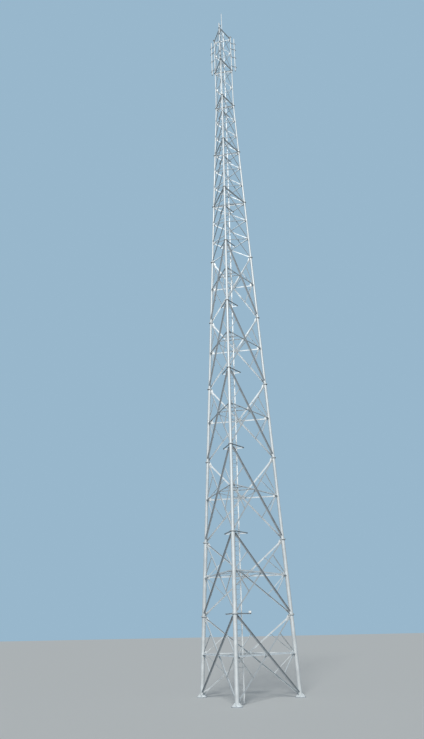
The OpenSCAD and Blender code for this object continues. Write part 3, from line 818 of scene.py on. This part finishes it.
def crossed_panel(work, face, i, k):
    """Two diagonals, the plate where they cross and, in a tall panel, its level and short bars."""
    frame = on_face(face, level_h[i])
    b, r, yc = diagonal_w[i], tube_d[i] / 2, crossing(i, k)
    low_y, high_y = panel_y(i, k), panel_y(i, k + 1)
    wide, narrow = half_gap(i, low_y), half_gap(i, high_y)
    tall = panel_count[i] == 1
    rising = not (face == 0 and i < close_from) and not (face == 1 and i < 2)
    both = face == 1 and 2 <= i < close_from
    bolt_rule = tall_bolts if tall else close_bolts if i < kink else head_bolts
    size = bolt_rule[0]
    centre = np.array([0.0, yc])

    def lay(line, outer, stop=None):
        """One diagonal; the edge of its standing flange goes by the face and the side."""
        low = (not outer and i >= close_from) if face == 1 else outer == (i >= close_from)
        # Outer diagonals of tall panels in the front faces go to the list that is darkened with
        # painted shade.
        rows = "shade_painted_bars" if outer and tall and face != 1 else "bars"
        return lay_diagonal(work, frame, line, b, r, outer, low, bolt_rule, rows, stop)

    def centre_bolts(along, outer, spots, near=None):
        """Bolts through the crossing plate at distances along a diagonal."""
        near = -seat if near is None else near
        grip = (near, seat + bar_t) if outer else (-seat - bar_t, seat)
        for s in spots:
            work["bolts"].append((frame, *(centre + along * s), *grip, size))

    first = lay(((-wide, low_y), (narrow, high_y)), rising)
    down_line = ((-narrow, high_y), (wide, low_y))
    if both:
        turn = 2 * slope(i, k)
        gap = (b / 2 * (1 + abs(math.cos(turn))) + 4) / math.sin(turn)
        lay(down_line, True, (centre, gap))
        centre_bolts(first, True, (0, 40, -40))
    else:
        second = lay(down_line, not rising)
        centre_bolts(first, True, (0,), -seat - bar_t)
        if tall:
            centre_bolts(first, rising, (-46, 46))
            centre_bolts(second, not rising, (-46, 46))
    if tall:
        level_bars(work, frame, face, i)
        short_bars(work, frame, i, rising, both)
    else:
        fill_plate(work, frame, octagon(b, b * 0.8, yc))


# %% [markdown]
# Under each joint from 20 m up, a level bar closes every face. Its rule gives the two flange
# widths, the gap between its end and the tube, and how far its middle lies below the joint.

# %% Faces
joint_ring = (66.0, 36.0, 40.0, 52.0)
top_ring_front, top_ring_back = (54.0, 36.0, 12.0, 212.0), (50.0, 40.0, 12.0, 170.0)
ring_bolts, ring_bolt = (11, 29), 8


def ring_bar(work, face, i):
    """The level bar of a face below joint i: the wide flange flat on the gussets."""
    frame = on_face(face, level_h[i - 1])
    top = i == 11
    flat, stand, end_gap, drop = (
        joint_ring if not top else top_ring_back if face == 1 else top_ring_front
    )
    outer = face != 1 or top
    y = section_length(i - 1) - drop
    end = half_gap(i - 1, y) - tube_d[i - 1] / 2 - end_gap
    along, up = lay_bar(work, frame, (-end, y), (end, y), flat, outer, False, stand)
    for row in (0,) if top else (-flat / 4, flat / 6):
        for side in (-1, 1):
            fix_end(
                work, frame, (side * end, y + row), -side * along, up, outer, ring_bolts, ring_bolt
            )


def face_piece(face, tier):
    """One face over one tier, in place of the construction's plain bars."""
    work = new_work()
    for i in range(tier_start[tier], tier_start[tier + 1]):
        for k in range(panel_count[i]):
            crossed_panel(work, face, i, k)
        if i + 1 > close_from:
            ring_bar(work, face, i + 1)
    place = f"{face_names[face]}_{tier_names[tier]}"
    make_piece(
        f"rolled_bars_{place}", rolled_bars(work["bars"]) + plate_bodies(work),
        angle_zinc, replaces=[f"face_{place}"],
    )
    # The outer diagonals of the front faces in a piece of their own, in a darker zinc that is
    # painted shade.
    if work["shade_painted_bars"]:
        make_piece(
            f"shade_painted_diagonals_{place}", rolled_bars(work["shade_painted_bars"]),
            shade_painted_zinc,
        )
    make_piece(f"face_bolts_{place}", bolts(work["bolts"]), bolt_zinc)
    return len(work["bars"]) + len(work["shade_painted_bars"]), len(work["bolts"])


for face in range(3):
    counts = np.sum([face_piece(face, tier) for tier in range(4)], 0)
    print(f"face {face_names[face]}: {counts[0]} bars, {counts[1]} bolts")

# %% [markdown]
# ## Flanged joints and welds on the legs
#
# Twelve bolts close each of the lower flanged joints, fewer the slimmer ones, and they are spread
# so that the gussets stand midway between two of them. The welds are the other thing that a
# galvanised leg shows: a neck seam where each flange meets its tube, and a seam on both sides of
# each gusset. A seam is a rounded corner strip that swells a little at each stroke.

# %% Bolts on the flanges
flange_circle = 0.55 * flange_reach


def joint_frames(leg, i):
    """The frames above and below a joint: at the kink, the leg below it still leans."""
    leans = (leg_lean if leaning else 0 for leaning in (i < kink, i <= kink))
    return tuple(on_leg(leg, level_h[i], lean) for lean in leans)


def flange_bolts(leg):
    """Heads above each joint and nuts below it, on a circle outside the tube."""
    heads, nuts, sizes = [], [], []
    for i in range(1, 12):
        count, first = (12, 15) if i < 7 else (8, 0) if i < 9 else (6, 0)
        above, below = joint_frames(leg, i)
        circle = tube_d[i - 1] / 2 + flange_circle
        top = flange_t if i < 11 else 0
        for n in range(count):
            around = turned("Z", first + n * 360 / count)
            spin = turned("Z", (n * 37 + i * 11) % 60)
            heads.append(above @ around @ moved(circle, 0, top) @ spin)
            nuts.append(below @ around @ moved(circle, 0, -flange_t) @ turned("X", 180) @ spin)
            sizes.append(12.0 if i < 7 else 10.0)
    return bolt_ends(heads, sizes, [washer, bolt_head]) + bolt_ends(
        nuts, sizes, [washer, bolt_nut, bolt_stud]
    )


for leg in range(3):
    bodies = flange_bolts(leg)
    make_piece(f"flange_bolts_{sides[leg]}", bodies, bolt_zinc)

# %% Weld seams
neck_profile = [(-0.8, -0.6), (3.6, -0.6), (3.4, 0.6), (2.3, 2.4), (0.6, 3.6), (-0.8, 3.8)]
seam_share = np.array(
    [(-0.8, -0.4), (4.0, -0.4), (3.8, 0.7), (2.6, 2.6), (0.7, 3.8), (-0.8, 4.0)]
)
stroke, stroke_swell, seam_end = 9.0, 0.1, 0.6
foot_top, fin_reach, fin_h, fin_half = 16.3, 160, 93, 3
reach_close, root_share, level_share = 0.62, 1.2, 1.7


def seams(rows):
    """Corner seams from rows of start, end and the two directions of the corner's sides.

    Along the seam, the outline grows and shrinks as one plus a tenth of the cosine of the
    stroke."""
    start, end, first, second = (np.array([row[k] for row in rows]) for k in range(4))
    length = np.median(np.linalg.norm(end - start, axis=1))
    steps = 1 + 4 * max(2, int(length / stroke / 2))
    t = np.linspace(0, 1, steps)
    swell = 1 + stroke_swell * np.cos(t * (steps - 1) * np.pi)
    swell[[0, -1]] = seam_end
    line = start[:, None] + (end - start)[:, None] * t[None, :, None]
    a = seam_share[None, None, :, 0, None] * swell[None, :, None, None] * first[:, None, None]
    b = seam_share[None, None, :, 1, None] * swell[None, :, None, None] * second[:, None, None]
    points = (line[:, :, None] + a + b).reshape(len(rows), -1, 3)
    inside_out = np.einsum("ij,ij->i", np.cross(first, second), end - start) < 0
    return tubes(points, len(seam_share), inside_out)


def gusset_edges(i):
    """Where each gusset of a section meets the tube, as its lowest and highest point."""
    n, b, r = panel_count[i], diagonal_w[i], tube_d[i] / 2
    lowest = (16 if i == 0 else flange_t) + 4 - panel_y(i, 0)
    highest = top_node(i) - flange_t - 4
    spans = []
    for k in range(n):
        low, high = panel_y(i, k), panel_y(i, k + 1)
        wall = r * math.tan(slope(i, k))
        if k == 0:
            spans.append((low + max(wall - b, lowest), low + wall + b * root_share))
        else:
            spans.append((low - wall - b, low + wall + b))
        if k == n - 1:
            over = min(highest, 30 + (50 if i == 10 else 40) * 0.75)
            upper = over if i + 1 > close_from else min(highest, b - wall)
            spans.append((high - wall - b * root_share, high + upper))
    if n == 1:
        yc = crossing(i, 0)
        spans.append((yc - level_w * level_share, yc + level_w * level_share))
    return spans


def gusset_seams(leg, i):
    """Seams on both sides of the gussets in the two faces beside a leg."""
    rows, r = [], tube_d[i] / 2
    for face, side in faces_beside(leg):
        frame = on_face(face, level_h[i])
        turn = frame[:3, :3]
        for low, high in gusset_edges(i):
            for out in (-1, 1):
                ends = [
                    at(frame, side * (half_gap(i, y) - r), y, out * gusset_t / 2)
                    for y in (low + 1, high - 1)
                ]
                rows.append((*ends, turn @ [-side, 0, 0], turn @ [0, 0, out]))
    return rows


def neck_seams(leg):
    """Seams round the tube above and below each joint."""
    frames, radii = [], []
    for i in range(1, 12):
        above, below = joint_frames(leg, i)
        if i < 11:
            frames.append(above @ moved(0, 0, flange_t))
            radii.append(tube_d[i] / 2)
        frames.append(below @ moved(0, 0, -flange_t) @ turned("X", 180))
        radii.append(tube_d[i - 1] / 2)
    return rings(frames, radii, neck_profile, 72, stroke_swell, 24)


def foot_seams(leg):
    """The seam round the tube on the base plate, and those of the six fins."""
    foot = moved(0, 0, foot_top) @ on_leg(leg, 0, 0)
    rows, r = [], tube_d[0] / 2
    for n in range(6):
        fin = foot @ turned("Z", 60 * n)
        turn = fin[:3, :3]
        for out in (-1, 1):
            for ends, away in (
                (((r + 2, 0), (fin_reach, 0)), [0, 0, 1]),
                (((r - 0.4, 4), (r - 0.4, fin_h)), [1, 0, 0]),
            ):
                ends = [at(fin, x, out * fin_half, z) for x, z in ends]
                rows.append((*ends, turn @ away, turn @ [0, out, 0]))
    return seams(rows) + rings([foot], [r], neck_profile, 96, stroke_swell, 32)


for leg in range(3):
    rows = [row for i in range(11) for row in gusset_seams(leg, i)]
    bodies = seams(rows) + neck_seams(leg) + foot_seams(leg)
    make_piece(f"weld_seams_{sides[leg]}", bodies, weld_zinc, smooth=50)

# %% [markdown]
# The gussets under the lower joints are cut close to the flange above them, so a shoulder is added
# to each: a plate of the same thickness less a hair, that fills the corner up to the flange.

# %% Gusset shoulders


def shoulder(i, side):
    """The outline between the upper diagonal, the tube and the flange."""
    r, b = tube_d[i] / 2, diagonal_w[i]
    high, rise = panel_y(i, 1), math.tan(slope(i, 0))
    top = section_length(i) - flange_t - 5
    corners = (
        (-2, high - r * rise - b * 0.2), (ear_reach - 8, high + b * 0.6 - (r + ear_reach) * rise),
        (ear_reach * 0.5, top), (-2, top),
    )
    return [(side * (half_gap(i, y) - r - x), y) for x, y in corners]


for leg in range(3):
    work = new_work()
    half = gusset_t / 2 - 0.1
    for i in range(close_from):
        for face, side in faces_beside(leg):
            lay_plate(work, on_face(face, level_h[i]), shoulder(i, side), -half, half)
    bodies = plate_bodies(work)
    make_piece(f"gusset_shoulders_{sides[leg]}", bodies, leg_zinc)

# %% [markdown]
# ## The climbing ladder
#
# The ladder is two angle bars with round rungs through their webs, welded at both sides. It leans
# with the tower inside the front leg, and comes in four lengths, joined by splice plates. The
# construction's rungs are six-sided; here the four lengths are rebuilt with round ones.

# %% Ladder
ladder_half, stringer_w, rung_pitch, rung_r = 125.0, 38.0, 150.0, 5.6
stringer_in = ladder_half - stringer_w
ladder_r_base, ladder_r_top = 1200, 100
ladder_lean = math.atan((ladder_r_base - ladder_r_top) / taper_h)
rung_seam = [(-0.5, -0.4), (2.4, -0.4), (1.8, 1.1), (0.4, 2.2), (-0.5, 2.2)]
ladder_ends = 16.0, 0.15


def ladder_radius(z):
    """Distance of the ladder from the tower axis, which falls along a line up to the kink."""
    return ladder_r_base - (ladder_r_base - ladder_r_top) * min(z, taper_h) / taper_h


def ladder_frame(z, lean):
    """The middle of the ladder at a height, with Z along it, X to the right and Y to its back."""
    return moved(0, axis_y - ladder_radius(z), z) @ turned("X", -math.degrees(lean))


def rung_bodies(frame, count):
    """Rungs that pass through both webs, with a seam on each side of a web."""
    heights = rung_pitch * (np.arange(count) + 0.5)
    reach = stringer_in + bar_t + 1.5
    across = [frame @ moved(0, 0, z) @ turned("Y", 90) for z in heights]
    spots = [
        f @ moved(0, 0, -side * x) @ turned("X", tip)
        for f in across
        for side in (-1, 1)
        for x, tip in (
            (stringer_in, 180 if side < 0 else 0), (stringer_in + bar_t, 0 if side < 0 else 180)
        )
    ]
    rungs = turned_solids(across, 12, [(rung_r, -reach), (rung_r, reach)])
    return rungs + rings(spots, [rung_r] * len(spots), rung_seam, 10)


def ladder_length(part):
    """Two stringers and the rungs of one length."""
    low, high = level_h[tier_start[part]], level_h[tier_start[part + 1]]
    lean = ladder_lean if part < 3 else 0
    start = ladder_ends[0] if part == 0 else ladder_ends[1]
    frame = ladder_frame(low, lean) @ moved(0, 0, start)
    length = (high - low) / math.cos(lean) - start - ladder_ends[1]
    work = new_work()
    for side in (-1, 1):
        ends = [[side * stringer_in, 0, z] for z in (0, length)]
        lay_level(work, frame, *ends, [0, 1, 0], [side, 0, 0], stringer_w)
    count = int(length // rung_pitch)
    name = tier_names[part]
    make_piece(
        f"ladder_{name}_round_rungs", rolled_bars(work["bars"]) + rung_bodies(frame, count),
        leg_zinc, replaces=[f"ladder_{name}"],
    )
    return count


print("rungs:", sum(ladder_length(part) for part in range(4)))

# %% [markdown]
# ## What carries the ladder
#
# At each joint of the front leg, two angle bars run back from the flange along the faces to a
# level bar behind the ladder. The close sections have a second, smaller frame clamped round the
# leg, and the tall panels a bar in front of the ladder, on cleats and clips. They are rebuilt here
# as rolled angles with their flanges on top, in place of the construction's node.

# %% Ladder frames
tan30, cos30 = math.tan(math.radians(30)), math.cos(math.radians(30))
small_bolt, clip_w, clip_t, clip_half = 6, 30.0, 3.0, 11
frame_past, ladder_gap, face_gap = 15, 0.45, 3.2
corner_plate, arm_bolts = ((-44, -14), (-4, -14), (14, 10), (-44, 10)), (-34, -14)
splice_half, splice_bolts = (56, 11), (-44, -18, 18, 44)
cleat_half, cleat_low, bolt_line = 14, 4.2, 15
lug_gap, lug_out, lug_bolt = 1.5, 6.5, 7


def beside_ladder(z, side, b):
    """Distance of a level bar's near side from the tower axis, before or behind the ladder."""
    near = stringer_w / 2 / math.cos(ladder_lean) + b * math.tan(ladder_lean) + ladder_gap
    return ladder_radius(z) + side * near


def lay_frame(work, z, low, start, lean):
    """The bar behind the ladder, its two arms from a distance off the leg, and their bolts."""
    b, x, r = frame_w, beside_ladder(z, -1, frame_w), leg_radius(z)
    frame = moved(0, axis_y, z) @ turned("Z", leg_azimuth[0])
    half, middle = (r - x) * tan30 + frame_past, low + b / 2
    lay_level(work, frame, [x, -half, middle], [x, half, middle], [0, 0, 1], [-1, 0, 0], b)
    back = ladder_frame(z, lean) @ turned("X", 90)
    end = (r - x) / cos30 + 1
    for side in (-1, 1):
        arm = frame @ moved(r, 0, low) @ turned("Z", side * 150)
        ends = [[x, side * bar_t / 2, b / 2] for x in (start, end)]
        lay_level(work, arm, *ends, [0, 0, 1], [0, -side, 0], b)
        outline = [(end + x, side * y) for x, y in corner_plate]
        lay_plate(work, arm @ moved(0, -side * 9, b - bar_t), outline, -3.6, -0.1)
        for x in arm_bolts:
            work["bolts"].append((arm, end + x, -side * bolt_line, b - 8, b, small_bolt))
        spot = side * (stringer_in + bar_t + 18)
        work["bolts"].append((back, spot, middle, -25.5, -15, small_bolt))


def lay_crossbar(work, i):
    """A level bar before the ladder between the two front faces, on a cleat at each end."""
    z = level_h[i] + crossing(i, 0) * math.cos(face_lean)
    b, x, r = second_w, beside_ladder(z, 1, second_w), leg_radius(z)
    frame = moved(0, axis_y, z) @ turned("Z", leg_azimuth[0])
    half, middle = (r - x - b) * tan30 + 3 / cos30 - 2, x + b / 2
    lay_level(work, frame, [middle, -half, 0], [middle, half, 0], [-1, 0, 0], [0, 0, -1], b)
    along = (r - middle) / cos30
    for side in (-1, 1):
        cleat = frame @ moved(r, 0, 0) @ turned("Z", side * 150)
        y = side * (b / 2 - face_gap)
        ends = [[along + x, y, -cleat_low] for x in (-cleat_half, cleat_half)]
        lay_level(work, cleat, *ends, [0, -side, 0], [0, 0, -1], b, clip_t)
        y = side * (bolt_line - face_gap)
        work["bolts"].append((cleat, along, y, -cleat_low - clip_t, 0, small_bolt))
        facing = cleat @ turned("X", side * 90)
        work["bolts"].append((facing, along, side * -18.0, 0.2, seat + bar_t, small_bolt))
    lay_clips(work, z, -b / 2)


def lay_clips(work, z, height):
    """Two small angles that bolt the crossbar's standing flange to the stringers' webs."""
    frame, front, web = ladder_frame(z, ladder_lean), stringer_w / 2 + 0.3, stringer_in + bar_t
    before = frame @ turned("X", 90)
    for side in (-1, 1):
        beside = frame @ turned("Y", side * 90)
        ends = [
            [side * (web + 0.1), clip_w / 2 - front, height + lift]
            for lift in (-clip_half, clip_half)
        ]
        lay_level(work, frame, *ends, [0, -1, 0], [side, 0, 0], clip_w, clip_t)
        work["bolts"] += [
            (before, side * (web + 18), height, front - clip_t, front + 4.5, small_bolt),
            (beside, -side * height, 1.0, stringer_in, web + clip_t + 0.1, small_bolt),
        ]


def lug_pair(work, frame, x, w, h):
    """Two plates with a gap between them, and a bolt through both."""
    for low, high in ((lug_gap, lug_out), (-lug_out, -lug_gap)):
        lay_plate(work, frame, oblong(w, h), low, high)
    work["bolts"].append((frame, x, 0, -lug_out, lug_out, lug_bolt))


def clamp_ring(work, z, i):
    """A ring round the leg, with a bolted pair of lugs at its front."""
    frame = on_leg(0, z, leg_lean)
    bore, wall, h = tube_d[i] / 2 + 0.3, 7.0, frame_w / 2
    profile = [(0, -h), (wall - 1, -h), (wall, 1 - h), (wall, h - 1), (wall - 1, h), (0, h)]
    lug_pair(work, frame @ moved(bore + wall + 8, 0, 0) @ turned("X", 90), 1, 9, 13)
    return rings([frame], [bore], profile, 64)


def lay_splices(work, level):
    """A plate and four bolts on each stringer where two lengths of the ladder meet."""
    joint = ladder_frame(level_h[level], ladder_lean)
    for side in (-1, 1):
        splice = joint @ moved(side * (stringer_in + bar_t), -4, 0) @ turned("Y", side * 90)
        lay_plate(work, splice, oblong(*splice_half), 0.1, 4)
        work["bolts"] += [(splice, x, 0, -bar_t, 4, small_bolt) for x in splice_bolts]


supports = new_work()
ring_bodies = []
for i in range(1, 11):
    start = tube_d[i - 1] / 2 + flange_reach + 0.3
    lay_frame(supports, level_h[i], -flange_t, start, ladder_lean if i < kink else 0)
for i in range(close_from, kink):
    reach = (tube_d[i] / 2 + ear_reach * reach_close) * math.tan(slope(i, 2))
    drop = reach + diagonal_w[i] * 0.3 + 11 + frame_w / 2
    z = level_h[i] + (panel_y(i, 2) - drop) * math.cos(face_lean)
    lay_frame(supports, z, -frame_w / 2, tube_d[i] / 2 + 3.8, ladder_lean)
    ring_bodies += clamp_ring(supports, z, i)
for i in range(close_from):
    lay_crossbar(supports, i)
for level in tier_start[1:4]:
    lay_splices(supports, level)
make_piece(
    "ladder_frames", rolled_bars(supports["bars"]) + plate_bodies(supports) + ring_bodies,
    angle_zinc, replaces=["ladder_supports"],
)
make_piece("ladder_bolts", bolts(supports["bolts"]), bolt_zinc)

# %% [markdown]
# ## Poles, brackets, rod and lamp box
#
# The head carries the small things: split clamps with bolted lugs on every bracket ring, a cap on
# each pole, two bent rods that hold the lightning rod's pipe to the top ring, and a lid, a gland
# and screws on the lamp box. A bent rod is a small circle carried along a path in one plane.

# %% Clamp lugs and pole caps
pole_top, pole_r, standoff = top_h - 60, 28.5, 200.0
bracket_drops = (390, 830, 1430, 2130)
ring_r = pole_r + 7.3
arm_bolts_at = (
    standoff / 2 - 12, standoff / 2 + 12, standoff + ring_r + 14, standoff + ring_r + 38
)
cap_profile = [
    (pole_r + 0.9, -9), (pole_r + 0.9, 1), (pole_r - 0.5, 2.6), (pole_r * 0.7, 4.2),
    (pole_r * 0.3, 4.8),
]


def bracket_work(leg):
    """Two pairs of lugs on each ring of the brackets, with a bolt through each pair."""
    work = new_work()
    for drop in bracket_drops:
        arm = moved(0, 0, -drop) @ on_leg(leg, top_h, 0) @ moved(0, 0, pole_top - top_h)
        for x in (0.0, standoff):
            for side in (-1, 1):
                at_ring = arm @ moved(x, side * (ring_r + 6), 0)
                lug_pair(work, at_ring @ turned("Y", 90) @ turned("Z", 90), 0, 9, 14)
        work["bolts"] += [(arm, x, 0, -15, 15, lug_bolt) for x in arm_bolts_at]
    return work


for leg in range(3):
    work, side = bracket_work(leg), sides[leg]
    cap = on_leg(leg, top_h, 0) @ moved(standoff, 0, pole_top - top_h)
    for name, bodies, material, smooth in (
        ("bracket_lugs", plate_bodies(work), fitting_zinc, None),
        ("bracket_bolts", bolts(work["bolts"]), bolt_zinc, None),
        ("pole_cap", turned_solids([cap], 40, cap_profile), fitting_zinc, 40),
    ):
        make_piece(f"{name}_{side}", bodies, material, smooth=smooth)

# %% Rod clamps


def bent_rods(frames, path, radius, corners=8):
    """A circle carried along a plane path: across it is the tangent turned a quarter, and Z."""
    path = np.asarray(path, float)
    tangent = np.gradient(path, axis=0)
    tangent /= np.linalg.norm(tangent, axis=1, keepdims=True)
    across = np.stack([tangent[:, 1], -tangent[:, 0]], -1)
    angle = np.arange(corners) * 2 * np.pi / corners
    local = np.empty((len(path), corners, 3))
    local[..., :2] = path[:, None] + radius * np.cos(angle)[None, :, None] * across[:, None]
    local[..., 2] = radius * np.sin(angle)[None]
    return tubes(carried(frames, local.reshape(-1, 3)), corners)


pipe_r, rod_t, plate_side = 12, 3, 19.6
hold_drop, hold_half, rod_nut = 170, 14, 6.0
rod_y = axis_y + leg_radius(top_h) / 2 + seat - 0.3 - pipe_r
u_radius = pipe_r + 3.2
u_path = np.concatenate([
    [(-u_radius, 30), (-u_radius, 8)], arc((0, 0), u_radius, 180, 360, 15),
    [(u_radius, 8), (u_radius, 30)],
])
holds = [moved(0, rod_y, top_h - hold_drop + z) for z in (-hold_half, hold_half)]
rod_nuts = [
    hold @ moved(x, plate_side, 0) @ turned("X", -90)
    for hold in holds
    for x in (-u_radius, u_radius)
]
collar_profile = [(-0.3, -10), (5, -10), (6, -9), (6, 9), (5, 10), (-0.3, 10)]
collar_frames = [moved(0, rod_y, top_h + z) for z in (720, -225)]
make_piece(
    "rod_clamps",
    bent_rods(holds, u_path, rod_t) + bolt_ends(rod_nuts, [rod_nut] * 4, [washer, bolt_nut])
    + rings(collar_frames, [pipe_r] * 2, collar_profile, 40),
    fitting_zinc, smooth=40,
)

# %% Lamp box
lamp_low, lamp_high = (np.array(corner) * 1000 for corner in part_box("lamp_box"))
lamp_mid, lamp_size = (lamp_low + lamp_high) / 2, lamp_high - lamp_low
lid_past, door_in, corner_r = 6, (10, 22), (5, 6)
screw_x, screw_y, screw = 32, 22, 4.0
gland = [(9, 0), (9, 5), (8, 6)]
gland_cone = [(6.5, 5), (6.5, 11), (5, 15), (2.5, 16)]


def rounded_outline(w, d, radius, steps=5):
    """A rectangle with quarter circles for corners, counter-clockwise."""
    x, y = w / 2 - radius, d / 2 - radius
    corners = [(x, y, 0), (-x, y, 90), (-x, -y, 180), (x, -y, 270)]
    return np.concatenate([arc((x, y), radius, a, a + 90, steps) for x, y, a in corners])


lid = moved(lamp_mid[0], lamp_mid[1], lamp_high[2])
front = moved(lamp_mid[0], lamp_low[1], lamp_mid[2] - 3) @ turned("X", 90)
back = moved(lamp_mid[0] - 18, lamp_high[1], lamp_low[2] + 16) @ turned("X", -90)
lid_outline = rounded_outline(lamp_size[0] + lid_past, lamp_size[1] + lid_past, corner_r[0])
door_outline = rounded_outline(
    lamp_size[0] - door_in[0], lamp_size[2] - door_in[1], corner_r[1]
)
screws = [lid @ moved(x, y, 3) for x in (-screw_x, screw_x) for y in (-screw_y, screw_y)]
make_piece(
    "lamp_lid", plates([lid_outline], [lid], -6, 3) + plates([door_outline], [front], -1, 2.5),
    lamp_white, smooth=40,
)
make_piece(
    "lamp_fittings",
    turned_solids([back], 6, gland) + turned_solids([back], 20, gland_cone)
    + bolt_ends(screws, [screw] * 4, [washer, bolt_head]),
    fitting_zinc,
)
